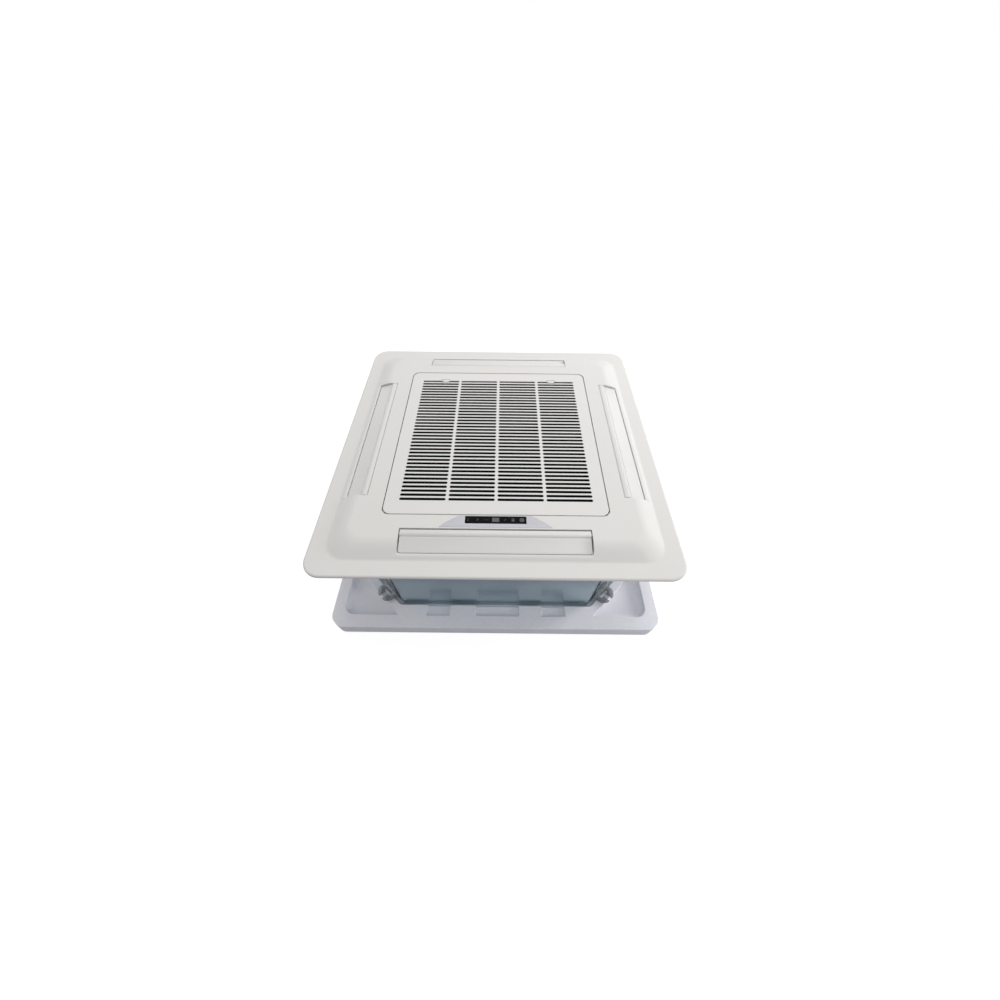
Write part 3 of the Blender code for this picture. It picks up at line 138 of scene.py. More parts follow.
# a stack of rounded rectangles, bridged from one to the next; each level is its own
def loftLoops(name, loops, segments):
    clearSelection()
    bpy.ops.mesh.primitive_plane_add(size=2)
    piece = bpy.context.object
    piece.name = name
    setMode("EDIT")
    bpy.ops.mesh.select_all(action="SELECT")
    bpy.ops.mesh.delete(type="VERT")
    for halfX, halfY, corner, level in loops:
        bpy.ops.mesh.primitive_plane_add(size=2, location=(0, 0, 0))
        bpy.ops.transform.resize(value=(halfX, halfY, 1), center_override=(0, 0, 0))
        bpy.ops.transform.translate(value=(0, 0, level))
        bpy.ops.mesh.bevel(offset_type="ABSOLUTE", offset=corner, segments=segments,
                           affect="VERTICES")
        bpy.ops.mesh.delete(type="ONLY_FACE")
        bpy.ops.mesh.select_all(action="DESELECT")
    levels = [loop[3] for loop in loops]
    for low, high in zip(levels, levels[1:]):
        pickEdges(piece, lambda a, b: abs(a.z - b.z) < sameLevel / 4
                  and min(abs(a.z - low), abs(a.z - high)) < sameLevel)
        bpy.ops.mesh.bridge_edge_loops()
    for level in (levels[0], levels[-1]):
        pickEdges(piece, lambda a, b: max(abs(a.z - level), abs(b.z - level)) < sameLevel)
        bpy.ops.mesh.edge_face_add()
    bpy.ops.mesh.select_all(action="SELECT")
    bpy.ops.mesh.normals_make_consistent(inside=False)
    setMode("OBJECT")
    return piece


# a line drawn point by point; the piece stays in edit mode
def drawLine(name, points, closed=True):
    clearSelection()
    bpy.ops.mesh.primitive_plane_add(size=0.001)
    piece = bpy.context.object
    piece.name = name
    setMode("EDIT")
    bpy.ops.mesh.select_mode(type="VERT")
    bpy.ops.mesh.merge(type="CENTER")
    bpy.ops.transform.translate(value=points[0])
    route = points + points[:1] if closed else points
    for here, there in zip(route, route[1:]):
        move = [b - a for a, b in zip(here, there)]
        bpy.ops.mesh.extrude_region_move(TRANSFORM_OT_translate={"value": move})
    bpy.ops.mesh.select_all(action="SELECT")
    bpy.ops.mesh.remove_doubles(threshold=samePoint)
    return piece


def closeMesh(piece):
    bpy.ops.mesh.select_all(action="SELECT")
    bpy.ops.mesh.remove_doubles(threshold=samePoint)
    bpy.ops.mesh.normals_make_consistent(inside=False)
    setMode("OBJECT")
    return piece


# a section of (radius, level) points, spun round Z
def spinShape(name, section, steps):
    onAxis = section[0][0] == 0 and section[-1][0] == 0  # both ends lie on the axis
    piece = drawLine(name, [(radius, 0, level) for radius, level in section], not onAxis)
    bpy.ops.mesh.spin(steps=steps, angle=2 * math.pi, center=(0, 0, 0), axis=(0, 0, 1))
    return closeMesh(piece)


def plateShape(name, points, move):
    piece = drawLine(name, points)
    bpy.ops.mesh.edge_face_add()
    bpy.ops.mesh.extrude_region_move(TRANSFORM_OT_translate={"value": move})
    return closeMesh(piece)


# cuts the corners of a line, so that it bends softly; its ends stay
def roundPath(path, times=3):
    for _ in range(times):
        cut = [path[0]]
        for here, there in zip(path, path[1:]):
            cut += [tuple(a + (b - a) * share for a, b in zip(here, there))
                    for share in (0.25, 0.75)]
        path = cut + [path[-1]]
    return path


# both sides of a wall that runs along a line; the wall is one number or one for each point
def wallSection(path, wall):
    walls = wall if isinstance(wall, list) else [wall] * len(path)
    sides = [[], []]
    for place, thick in enumerate(walls):
        before, after = path[max(place - 1, 0)], path[min(place + 1, len(path) - 1)]
        across = Vector((before[1] - after[1], after[0] - before[0])).normalized() * thick / 2
        for side, way in zip(sides, (-1, 1)):
            side.append((path[place][0] + across.x * way, path[place][1] + across.y * way))
    return sides[0] + sides[1][::-1]


def applyChange(piece, change):
    pick(piece)
    bpy.ops.object.modifier_apply(modifier=change.name)


# the cutters are used up
def cutWith(piece, *cutters, operation="DIFFERENCE"):
    for cutter in cutters:
        change = piece.modifiers.new("cut", "BOOLEAN")
        change.operation = operation
        change.object = cutter
        change.solver = "EXACT"
        applyChange(piece, change)
        dropPieces(cutter)
    return piece


def softenEdges(piece, width, segments=2, angle=35):
    change = piece.modifiers.new("soft", "BEVEL")
    change.width = width
    change.segments = segments
    change.limit_method = "ANGLE"
    change.angle_limit = math.radians(angle)
    change.use_clamp_overlap = True
    applyChange(piece, change)
    return piece


def repeat(piece, count, step):
    change = piece.modifiers.new("row", "ARRAY")
    change.count = count
    change.use_relative_offset = False
    change.use_constant_offset = True
    change.constant_offset_displace = step
    applyChange(piece, change)


def copyPiece(piece, name, degrees=0, shift=(0, 0, 0)):
    pick(piece)
    bpy.ops.object.duplicate()
    twin = bpy.context.object
    twin.name = name
    twin.rotation_euler = (0, 0, math.radians(degrees))
    twin.location = shift
    return applyPlace(twin)


def joinPieces(first, *others):
    pick(first)
    for other in others:
        other.select_set(True)
    bpy.ops.object.join()
    return first


def finishPiece(piece, body, material, nodes=(), angle=35, broad=False):
    pick(piece)
    piece.data.materials.clear()
    piece.data.materials.append(material)
    bpy.ops.object.shade_smooth_by_angle(angle=math.radians(angle))
    if broad:
        # the broad faces keep their own direction, and only the narrow ones beside them bend
        change = piece.modifiers.new("weigh", "WEIGHTED_NORMAL")
        change.keep_sharp = True
        change.weight = 60
        applyChange(piece, change)
    applyPlace(piece)
    if nodes:
        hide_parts(*nodes)
    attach(piece, body)


def hexColour(text):
    channels = [int(text[i:i + 2], 16) / 255 for i in (0, 2, 4)]
    return [c / 12.92 if c <= 0.04045 else ((c + 0.055) / 1.055) ** 2.4 for c in channels] + [1]


def newMaterial(name, colour, roughness, metallic=0.0, ior=1.46):
    material = bpy.data.materials.new(name)
    material.use_nodes = True
    shader = material.node_tree.nodes["Principled BSDF"]
    shader.inputs["Base Color"].default_value = hexColour(colour)
    shader.inputs["Roughness"].default_value = roughness
    shader.inputs["Metallic"].default_value = metallic
    shader.inputs["IOR"].default_value = ior
    return material, shader


def linkSockets(material, node, links):
    for key, source in links:
        material.node_tree.links.new(source, node.inputs[key])


def addNode(material, kind, links=(), values=(), **settings):
    node = material.node_tree.nodes.new("ShaderNode" + kind)
    for key, value in settings.items():
        setattr(node, key, value)
    for key, value in values:
        node.inputs[key].default_value = value
    linkSockets(material, node, links)
    return node


def objectPlace(material):
    return addNode(material, "TexCoord").outputs["Object"]


def addNoise(material, place, scale, detail):
    return addNode(material, "TexNoise", [("Vector", place)],
                   [("Scale", scale), ("Detail", detail)])


# cells of one size; their colours differ
def addCells(material, place, size, **settings):
    return addNode(material, "TexVoronoi", [("Vector", place)], [("Scale", 1 / size)],
                   **settings)


def addRange(material, value, low, high):
    return addNode(material, "MapRange", [("Value", value)],
                   [("To Min", low), ("To Max", high)]).outputs["Result"]


# a number or a vector times a constant, plus another
def addProduct(material, kind, value, factor, plus):
    return addNode(material, kind, [(0, value), (2, plus)], [(1, factor)],
                   operation="MULTIPLY_ADD")


def addMix(material, factor, first, second):
    mix = addNode(material, "Mix", [("Factor", factor)], data_type="RGBA")
    mix.inputs["A"].default_value = hexColour(first)
    mix.inputs["B"].default_value = hexColour(second)
    return mix.outputs["Result"]


def addRamp(material, factor, dark, light, start):
    ramp = addNode(material, "ValToRGB", [("Fac", factor)])
    ramp.color_ramp.elements[0].position = start
    ramp.color_ramp.elements[0].color = hexColour(dark)
    ramp.color_ramp.elements[1].color = hexColour(light)
    return ramp.outputs["Color"]


def addBump(material, height, strength, distance):
    return addNode(material, "Bump", [("Height", height)],
                   [("Strength", strength), ("Distance", distance)]).outputs["Normal"]


# moulded plastic: a faint orange peel in the gloss and hardly any change of tone
def mouldedPlastic(name, colour, shade, roughness, grain=0.0012, peel=0.05, coat=0.0, gloss=0.5):
    material, shader = newMaterial(name, colour, roughness)
    shader.inputs["Specular IOR Level"].default_value = gloss
    shader.inputs["Coat Weight"].default_value = coat
    place = objectPlace(material)
    tone = addNoise(material, place, 9.0, 3.0).outputs["Fac"]
    skin = addNoise(material, place, 1 / grain, 2.0).outputs["Fac"]
    linkSockets(material, shader, [
        ("Base Color", addMix(material, tone, colour, shade)),
        ("Roughness", addRange(material, skin, roughness - 0.04, roughness + 0.06)),
        ("Normal", addBump(material, skin, peel, 0.0003))])
    return material


# steel with a zinc skin: crystals a few millimetres across that differ in tone and gloss
def zincSteel(name, dark, light, crystal, roughness, metallic=0.75, spangle=0.45):
    material, shader = newMaterial(name, light, roughness, metallic, 1.5)
    place = objectPlace(material)
    blur = addNoise(material, place, 60.0, 2.0).outputs["Color"]
    bent = addProduct(material, "VectorMath", blur, (crystal * 0.6,) * 3, place)
    cells = addCells(material, bent.outputs["Vector"], crystal)
    tone = addNode(material, "SeparateColor", [("Color", cells.outputs["Color"])])
    broad = addNoise(material, place, 5.0, 4.0).outputs["Fac"]
    share = addProduct(material, "Math", tone.outputs["Red"], spangle, broad)
    linkSockets(material, shader, [
        ("Base Color", addRamp(material, share.outputs["Value"], dark, light, 0.35)),
        ("Roughness", addRange(material, tone.outputs["Green"], roughness - 0.2 * spangle,
                               roughness + 0.25 * spangle))])
    return material


# foam pressed from beads, with a fine dent at each bead's edge
def beadFoam(name, colour, shade, bead=0.004, roughness=0.75):
    material, shader = newMaterial(name, colour, roughness, 0.0, 1.4)
    place = objectPlace(material)
    beads = addCells(material, place, bead, feature="DISTANCE_TO_EDGE")
    edge = addNode(material, "MapRange", [("Value", beads.outputs["Distance"])],
                   [("From Max", 0.12)])
    tones = addCells(material, place, bead)
    grey = addNode(material, "SeparateColor", [("Color", tones.outputs["Color"])])
    broad = addNoise(material, place, 7.0, 3.0).outputs["Fac"]
    share = addProduct(material, "Math", grey.outputs["Red"], 0.5, broad)
    linkSockets(material, shader, [
        ("Base Color", addMix(material, share.outputs["Value"], colour, shade)),
        ("Normal", addBump(material, edge.outputs["Result"], 0.5, 0.0004))])
    return material


# soft white with a low, wide sheen
panelAbs = mouldedPlastic("mouldedAbsPanel", "DCDAD8", "D8D7D4", 0.36)
# the same white, a touch flatter
grilleAbs = mouldedPlastic("mouldedAbsGrille", "DDDCDA", "D9D8D6", 0.38)
# satin, with a narrower sheen along the blade
louverAbs = mouldedPlastic("satinAbsLouver", "DBDAD8", "D6D6D4", 0.3, peel=0.03)
# cool silver grey under a thin clear coat
silverPaint = mouldedPlastic("silverPaintedAbs", "C2C2C9", "BBBBC2", 0.33, grain=0.0007, coat=0.2)
# near black and smooth, so it hides what lies behind
windowAcrylic = mouldedPlastic("smokedAcrylic", "08080A", "0E0E11", 0.14, peel=0.01, gloss=0.1)
# dark grey, just apart from the window
buttonAbs = mouldedPlastic("buttonAbs", "4A4C50", "424448", 0.3)
# matt print, faint on the black
iconPrint = mouldedPlastic("iconPrint", "4E5055", "494B50", 0.5)
# matt print, a step lighter
digitPrint = mouldedPlastic("digitPrint", "74767A", "6C6E72", 0.5)
# charcoal with a coarse, dull skin
fanAbs = mouldedPlastic("glassFilledAbsFan", "3C3E43", "33353A", 0.45, peel=0.12)
# near black, a little waxy
darkPp = mouldedPlastic("mouldedPpDark", "2E3033", "27292C", 0.5, peel=0.1)
# dull dark grey
hoseRubber = mouldedPlastic("corrugatedHoseRubber", "3A3A3D", "313134", 0.6, peel=0.2)
# bright, cool white whose beads catch the light
trayFoam = beadFoam("packingEps", "F3F3F8", "E9E9F0")
# off-white beads
panFoam = beadFoam("drainPanEps", "E6E7EA", "DCDDE1")
# dark fibres that swallow the light in the outlets
ductFoam = beadFoam("flockedDuctFoam", "35373A", "2C2E31", bead=0.002, roughness=0.9)
# light grey beads
linerFoam = beadFoam("linerEps", "CFD1D4", "C4C6CA")
# a black line between panel and casing
gasketFoam = beadFoam("gasketPeFoam", "2A2A2C", "232325", bead=0.002, roughness=0.9)
# a blurred blue-grey mirror with hardly a crystal in it
casingSteel = zincSteel("galvanisedCasing", "9FB0B8", "BCCBD0", 0.008, 0.23, 0.95, 0.08)
# mid grey with clear crystals
bracketZinc = zincSteel("zincPlatedBracket", "7C8083", "9A9FA2", 0.005, 0.35)
# small bright heads
screwZinc = zincSteel("zincPlatedScrew", "8C9093", "B4B8BA", 0.002, 0.3, 0.9)
# a darker, duller shell
motorSteel = zincSteel("motorShellSteel", "6E7276", "8A8E92", 0.006, 0.4)
# clean, bright metal
shaftSteel = zincSteel("turnedShaftSteel", "9A9DA1", "B8BBBE", 0.002, 0.25, 0.95)
# red metal, bright
copperPipe = zincSteel("drawnCopper", "9A5F40", "C08058", 0.012, 0.35, 0.95)
# yellow metal, bright
brassFitting = zincSteel("turnedBrass", "A08040", "C8A868", 0.004, 0.3, 0.95)


# even stripes along X and along Y; a wave texture repeats every 2 pi / 20 at a scale of 1
def addStripes(material, place, pitch):
    return [addNode(material, "TexWave", [("Vector", place)],
                    [("Scale", 2 * math.pi / (20 * pitch))], bands_direction=way).outputs["Fac"]
            for way in ("X", "Y")]


# aluminium fins: thin upright leaves, drawn 3 mm apart so that they still show; the dark stripes
# between them are painted shade for the gaps
def finStack(name):
    material, shader = newMaterial(name, "B9BDC1", 0.45, 0.7, 1.5)
    coords = addNode(material, "TexCoord")
    facing = addNode(material, "SeparateXYZ", [("Vector", coords.outputs["Normal"])])
    side = addNode(material, "Math", [(0, facing.outputs["X"])], operation="ABSOLUTE")
    alongX, alongY = addStripes(material, coords.outputs["Object"], 0.003)
    stripe = addNode(material, "Mix",
                     [("Factor", side.outputs["Value"]), ("A", alongX), ("B", alongY)])
    # the dark end of the ramp is painted shade in the gaps between the fins
    tone = addRamp(material, stripe.outputs["Result"], "3E4145", "C4C8CC", 0.25)
    linkSockets(material, shader, [("Base Color", tone)])
    return material


# nylon filter net in a ribbed frame: a square weave, drawn 3 mm wide; dark nylon, with painted
# shade in it
def filterNet(name):
    material, shader = newMaterial(name, "3A3D42", 0.85)
    shader.inputs["Specular IOR Level"].default_value = 0.1  # mostly holes, so hardly any gloss
    alongX, alongY = addStripes(material, objectPlace(material), 0.003)
    net = addNode(material, "Math", [(0, alongX), (1, alongY)],
                  operation="MAXIMUM").outputs["Value"]
    # the near black between the threads is painted shade seen through the holes, and the whole net
    # is kept darker than the nylon as painted shade for the grille's slots
    linkSockets(material, shader, [
        ("Base Color", addRamp(material, net, "0B0C0D", "1C1E21", 0.5)),
        ("Normal", addBump(material, net, 1.0, 0.0005))])
    return material


coilFins = finStack("aluminiumFins")
filterNylon = filterNet("nylonFilterNet")

# each material, and how the names of the nodes that carry it start; the first match counts
carried = (
    (linerFoam, ("foam_liner",)), (panFoam, ("drain_pan", "float_ring")),
    (darkPp, ("bell_mouth", "condensate_outlet", "drain_pump", "float_switch")),
    (motorSteel, ("fan_motor", "louver_motor")), (shaftSteel, ("motor_shaft", "fan_nut")),
    (coilFins, ("heat_exchanger_coil",)), (copperPipe, ("water_inlet_pipe", "water_outlet_pipe")),
    (brassFitting, ("water_",)), (hoseRubber, ("drain_hose",)), (gasketFoam, ("panel_gasket",)),
    (filterNylon, ("air_filter",)), (fanAbs, ("fan_impeller",)), (trayFoam, ("packing_tray",)),
    (panelAbs, ("panel_frame",)), (grilleAbs, ("intake_grille", "latch_")),
    (ductFoam, ("outlet_duct",)), (silverPaint, ("display_crescent",)),
    (windowAcrylic, ("display_window",)), (buttonAbs, ("display_button",)),
    (louverAbs, ("louver_",)), (bracketZinc, ("hanger_bracket",)), (casingSteel, ("",)),
)
for name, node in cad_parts.items():
    node.data.materials.clear()
    node.data.materials.append(next(worn for worn, starts in carried if name.startswith(starts)))
print("materials on the carried nodes")


tray = {"half": 0.500, "height": 0.050, "chamfer": 0.027, "outerTurn": 0.012, "turn": 0.007,
        "recessHalf": 0.429, "recessChamfer": 0.1330, "floor": 0.030, "cutTop": 0.08,
        "notchFloor": 0.040, "notchDepth": 0.0325, "notchIn": 0.012,
        # the middle and the width of each
        "notches": ((-0.176, 0.070), (0.006, 0.132), (0.178, 0.071)),
        "pocketFloor": 0.020, "pocketX": 0.464, "pocketY": 0.460, "pocketTurn": 0.028,
        "rib": 0.0509, "cove": 0.024, "coveStart": 0.004, "soft": 0.0028}
casing = {"width": 0.840, "chamfer": 0.131}


def makeTray():
    outside, high, top = tray["half"], tray["height"], tray["cutTop"]
    block = loftLoops("packingTray", [(outside, outside, tray["chamfer"], 0),
                                      (outside, outside, tray["chamfer"], high)], 1)
    bevelEdges(block, isUpright, tray["outerTurn"], 5)
    half, chamfer = tray["recessHalf"], tray["recessChamfer"]
    recess = loftLoops("recess", [(half, half, chamfer, tray["floor"]),
                                  (half, half, chamfer, top)], 1)
    bevelEdges(recess, isUpright, tray["turn"], 5)
    cutWith(block, recess)
    for middle, width in tray["notches"]:
        for way in (-1, 1):
            near, far = sorted((way * (half - tray["notchIn"]), way * (half + tray["notchDepth"])))
            cutWith(block, addBlock("notch", (middle - width / 2, near, tray["notchFloor"]),
                                    (middle + width / 2, far, top)))
    # each pocket's long side runs along the recess's chamfer, a rib's width outside it
    line = casing["width"] - casing["chamfer"] + tray["rib"]
    coveStart = line + tray["coveStart"]
    outX, outY, floor = tray["pocketX"], tray["pocketY"], tray["pocketFloor"]
    for wayX in (-1, 1):
        for wayY in (-1, 1):
            sideX = sorted((wayX * (line - outY), wayX * outX))
            sideY = sorted((wayY * (line - outX), wayY * outY))
            pocket = addBlock("pocket", (sideX[0], sideY[0], floor), (sideX[1], sideY[1], top))
            sliceOff(pocket, (wayX * line / 2, wayY * line / 2, 0), (wayX, wayY, 0))
            bevelEdges(pocket, lambda a, b: isUpright(a, b) and abs(a.x) > outX - slack
                       and abs(a.y) > outY - slack, tray["pocketTurn"], 8)
            bevelEdges(pocket, lambda a, b: max(a.z, b.z) < floor + slack
                       and abs(a.x + b.x + wayX * wayY * (a.y + b.y)) / 2 > coveStart,
                       tray["cove"], 8)
            cutWith(block, pocket)
    softenEdges(block, tray["soft"], 3)
    finishPiece(block, "tray", trayFoam, ["packing_tray"], 40, True)


makeTray()
print("packing tray")


panel = {"half": 0.475, "corner": 0.050, "back": 0.3420, "backEdge": 0.0006, "flangeTop": 0.3500,
         "edgeWide": 0.006, "edgeDeep": 0.0055, "domeTop": 0.3710, "domeHalf": 0.430,
         "domeCorner": 0.055, "foot": 0.003, "slope": 0.058, "plateauCorner": 0.040,
         "fullness": 0.85, "openX": 0.3025, "openY": 0.3065, "openCorner": 0.021,
         "ledge": 0.3560, "ledgeWidth": 0.012, "ledgeCorner": 0.012, "soft": 0.0008,
         "louverIn": 0.3490, "louverOut": 0.4114, "louverHalf": 0.2444, "louverCorner": 0.008,
         "louverFloor": 0.3495, "frontGap": 0.0015, "ductIn": 0.3367, "ductOut": 0.4083,
         "ductHalf": 0.2433, "ductTop": 0.3508, "pivot": 0.3595, "pivotLevel": 0.3630,
         # how much higher than the level before it a flat loop lies
         "rise": 0.00002,
         # the lip outside each louver, as (distance from the middle, level)
         "lipCut": 0.3540,
         "lip": ((0.4040, 0.3495), (0.4040, 0.3566), (0.4165, 0.3565), (0.4205, 0.3553),
                 (0.4235, 0.3537), (0.4262, 0.3517), (0.4285, 0.3500), (0.4285, 0.3495))}


# how high the dome stands at a share of its slope: soft at the flange, then full and round
def domeRise(share):
    soft = share * share * (3 - 2 * share)
    full = math.sin(math.radians(90 * share))
    return (panel["domeTop"] - panel["flangeTop"]) * (soft + (full - soft) * panel["fullness"])


def isOuterUpright(a, b):
    return isUpright(a, b) and a.x > 0.40


def louverOpening(name, grow):
    hole = addBlock(name, (panel["louverIn"] - grow, -panel["louverHalf"] - grow,
                           panel["louverFloor"]),
                    (panel["louverOut"] + grow, panel["louverHalf"] + grow, above + 0.01))
    bevelEdges(hole, isOuterUpright, panel["louverCorner"] + grow, 6)
    return hole


def panelLoops():
    half, corner, edge, top = (panel[key] for key in ("half", "corner", "backEdge", "flangeTop"))
    slope, foot, rise = panel["slope"], panel["foot"], panel["rise"]
    loops = [(half - edge, half - edge, corner, panel["back"]),
             (half, half, corner, panel["back"] + edge)]
    for angle in range(0, 91, 15):
        turn = math.radians(angle)
        inset = panel["edgeWide"] * (1 - math.cos(turn))
        loops.append((half - inset, half - inset, corner - inset,
                      top - 0.0001 - panel["edgeDeep"] * (1 - math.sin(turn))))
    # a soft foot where the dome leaves the flange
    footRise = domeRise(foot / slope)
    for step in range(5):
        share = step / 4
        side = panel["domeHalf"] + foot - 2 * foot * share
        loops.append((side, side, panel["domeCorner"], top + footRise * share * share + rise))
    steps = 18
    for step in range(1, steps + 1):
        share = foot / slope + (1 - foot / slope) * step / steps
        side = panel["domeHalf"] - slope * share
        radius = panel["domeCorner"] + (panel["plateauCorner"] - panel["domeCorner"]) * share
        loops.append((side, side, radius, top + domeRise(share) + rise * (1 - share)))
    return loops


def makePanel():
    piece = loftLoops("panelFrame", panelLoops(), 14)
    openX, openY, corner = panel["openX"], panel["openY"], panel["openCorner"]
    opening = loftLoops("opening", [(openX, openY, corner, panel["ledge"]),
                                    (openX, openY, corner, above + 0.01)], 12)
    ledge, corner = panel["ledgeWidth"], panel["ledgeCorner"]
    intake = loftLoops("intake", [(openX - ledge, openY - ledge, corner, below),
                                  (openX - ledge, openY - ledge, corner, above)], 8)
    cutWith(piece, opening, intake)
    duct = addBlock("duct", (panel["ductIn"], -panel["ductHalf"], below),
                    (panel["ductOut"], panel["ductHalf"], panel["ductTop"]))
    half, profile = panel["louverHalf"], panel["lip"]
    room = addBlock("room", (profile[0][0], -half, panel["lipCut"]), (profile[-1][0], half, above))
    lip = plateShape("lip", [(x, -half, z) for x, z in profile], (0, 2 * half, 0))
    for degrees in quarters:
        cutWith(piece, copyPiece(room, "space", degrees))
        cutWith(piece, copyPiece(lip, "edge", degrees), operation="UNION")
    for degrees in quarters:
        hole = louverOpening("louverHole", panel["frontGap"] if degrees == 270 else 0)
        cutWith(piece, copyPiece(hole, "hole", degrees), copyPiece(duct, "way", degrees))
        dropPieces(hole)
    dropPieces(duct, room, lip)
    cutWith(piece, displayShape("displaySeat", -display["play"], display["floor"], above))
    softenEdges(piece, panel["soft"], 3, 38)
    finishPiece(piece, "casing", panelAbs, ["panel_frame"], 38, True)


display = {"radius": 0.215, "chord": 0.2916, "back": -0.3080, "front": -0.3440, "floor": 0.3693,
           "top": 0.3714, "play": 0.0003, "soft": 0.0006, "windowX": 0.0795,
           "windowY": -0.3210, "windowHalf": 0.011, "buttonX": 0.068, "buttonRadius": 0.0045,
           "rimIn": 0.0004, "rimOut": 0.0014, "rimHeight": 0.0002, "printed": 0.0003,
           "field": (0.0184, 0.0130), "digits": (-0.0045, 0.0045),
           "digit": {"rise": 0.0045, "wide": 0.0046, "stroke": 0.0011, "aside": 0.003,
                     "middle": 0.0023, "tall": 0.0036},
           # small generic marks, each with its place, its width and depth, and its turn
           "marks": ((-0.0715, 0.0015, 0.0012, 0.0050, 20), (-0.0715, -0.0030, 0.0030, 0.0012, 0),
                     (-0.0480, 0.0016, 0.0011, 0.0045, 30), (-0.0480, -0.0020, 0.0011, 0.0045, 0),
                     (-0.0455, 0.0016, 0.0011, 0.0045, -30), (-0.0290, 0.0, 0.0030, 0.0010, 0),
                     (-0.0245, 0.0, 0.0030, 0.0010, 0), (-0.0200, 0.0, 0.0030, 0.0010, 0),
                     (0.0225, -0.0008, 0.0010, 0.0040, 40), (0.0255, 0.0006, 0.0010, 0.0066, -35),
                     (0.0450, -0.0018, 0.0076, 0.0056, 0), (0.0450, 0.0020, 0.0076, 0.0012, 0),
                     (0.0418, 0.0036, 0.0012, 0.0040, 0), (0.0482, 0.0036, 0.0012, 0.0040, 0),
                     (0.0450, 0.0052, 0.0076, 0.0012, 0))}


# a disc's part between the crescent's back edge and its chord
def displayShape(name, inset, low, high):
    middle = display["front"] - math.sqrt(display["radius"] ** 2 - (display["chord"] / 2) ** 2)
    disc = addRod(name, (0, middle, low), (0, middle, high), display["radius"] - inset, 240)
    sliceOff(disc, (0, display["front"] + inset, 0), (0, 1, 0))
    sliceOff(disc, (0, display["back"] - inset, 0), (0, -1, 0))
    return disc


# a flat mark, placed from the window's middle
def bar(name, x, y, wide, deep, level, turn=0):
    clearSelection()
    bpy.ops.mesh.primitive_cube_add(size=1, rotation=(0, 0, math.radians(turn)),
                                    location=(x, display["windowY"] + y, level + 0.00005))
    piece = bpy.context.object
    piece.name = name
    piece.scale = (wide, deep, display["printed"])
    return applyPlace(piece)


def makeDisplay():
    play, x, y, half = (display[key] for key in ("play", "windowX", "windowY", "windowHalf"))
    floor = display["floor"] + play
    crescent = displayShape("displayCrescent", 0.0, floor, display["top"])
    low, high = (-x, y - half, floor), (x, y + half, display["top"] + play)
    cutWith(crescent, addBlock("seat", (low[0] - play, low[1] - play, 0.36),
                               (high[0] + play, high[1] + play, 0.38)))
    softenEdges(crescent, display["soft"], 3)
    finishPiece(crescent, "casing", silverPaint, ["display_crescent"])
    window = addBlock("displayWindow", low, high)
    softenEdges(window, display["soft"] / 2)
    button, radius = display["buttonX"], display["buttonRadius"]
    cutWith(window, addRod("hole", (button, y, 0.36), (button, y, 0.38), radius + play, 48))
    finishPiece(window, "casing", windowAcrylic, ["display_window"])
    level = high[2]
    marks = [bar("mark", *place, level, turn) for *place, turn in display["marks"]]
    digits = []
    size = display["digit"]
    for middle in display["digits"]:
        for rise in (size["rise"], 0, -size["rise"]):
            digits.append(bar("digit", middle, rise, size["wide"], size["stroke"], level))
        for rise in (size["middle"], -size["middle"]):
            for aside in (-size["aside"], size["aside"]):
                digits.append(bar("digit", middle + aside, rise, size["stroke"], size["tall"],
                                  level))
    field = bar("digitField", 0, 0, *display["field"], level - 0.00006)
    inner, outer, high = radius + display["rimIn"], radius + display["rimOut"], display["rimHeight"]
    section = [(inner, 0), (outer, 0), (outer, high), (inner, high)]
    rim = spinShape("displayButtonRim", section, 48)
    rim.location = (button, y, level)
    for name, piece, material in (("displayMarks", joinPieces(*marks), iconPrint),
                                  ("displayDigits", joinPieces(*digits), digitPrint),
                                  ("digitField", field, iconPrint),
                                  ("displayButtonRim", rim, digitPrint)):
        piece.name = name
        finishPiece(piece, "casing", material, ())


makePanel()
print("panel frame")
makeDisplay()
print("display")


louver = {"half": 0.2428, "edge": 0.0505, "wall": 0.003, "drop": 0.0152, "top": 0.0070,
          "bulge": 0.0012, "bladeStart": 0.0116, "steps": 12, "soft": 0.0007, "back": 0.02,
          "play": 0.001, "pinRadius": 0.0025, "pinReach": (-0.253, 0.250),
          # the knuckle round the pivot, from the blade's underside over the crest to the groove
          "knuckle": ((0.0106, 0.0002), (0.0070, -0.0072), (-0.0070, -0.0088), (-0.0092, -0.0030),
                      (-0.0092, 0.0066), (-0.0035, 0.0080), (0.0045, 0.0080), (0.0088, 0.0054),
                      (0.0106, 0.0026))}


def makeLouver():
    pivot, level, half = panel["pivot"], panel["pivotLevel"], louver["half"]
    start, edge, play = louver["bladeStart"], louver["edge"], louver["play"]
    blade = []
    for step in range(louver["steps"] + 1):
        along = start + (edge - start) * step / louver["steps"]
        share = along / edge
        blade.append((along, louver["top"] - louver["drop"] * share ** 1.15
                      - louver["bulge"] * math.sin(math.pi * share)))
    under = [(along, height - louver["wall"]) for along, height in blade[::-1]]
    section = roundPath(louver["knuckle"]) + blade + under
    piece = plateShape("louverRight", [(pivot + x, -half, level + z) for x, z in section],
                       (0, 2 * half, 0))
    trim = addBlock("trim", (pivot - louver["back"], -half - play, below),
                    (pivot + edge, half + play, above))
    bevelEdges(trim, isOuterUpright, panel["louverCorner"] - play, 6)
    cutWith(piece, trim, operation="INTERSECT")
    softenEdges(piece, louver["soft"], 3, 50)
    near, far = louver["pinReach"]
    pin = addRod("pin", (pivot, near, level), (pivot, far, level), louver["pinRadius"], 24)
    return cutWith(piece, pin, operation="UNION")


first = makeLouver()
louvers = [copyPiece(first, "louver" + side.title(), degrees)
           for side, degrees in (("back", 90), ("left", 180), ("front", 270))]
for piece, side in zip(louvers + [first], ("back", "left", "front", "right")):
    finishPiece(piece, side + "_louver", louverAbs, ["louver_" + side], 30)
print("louvers")


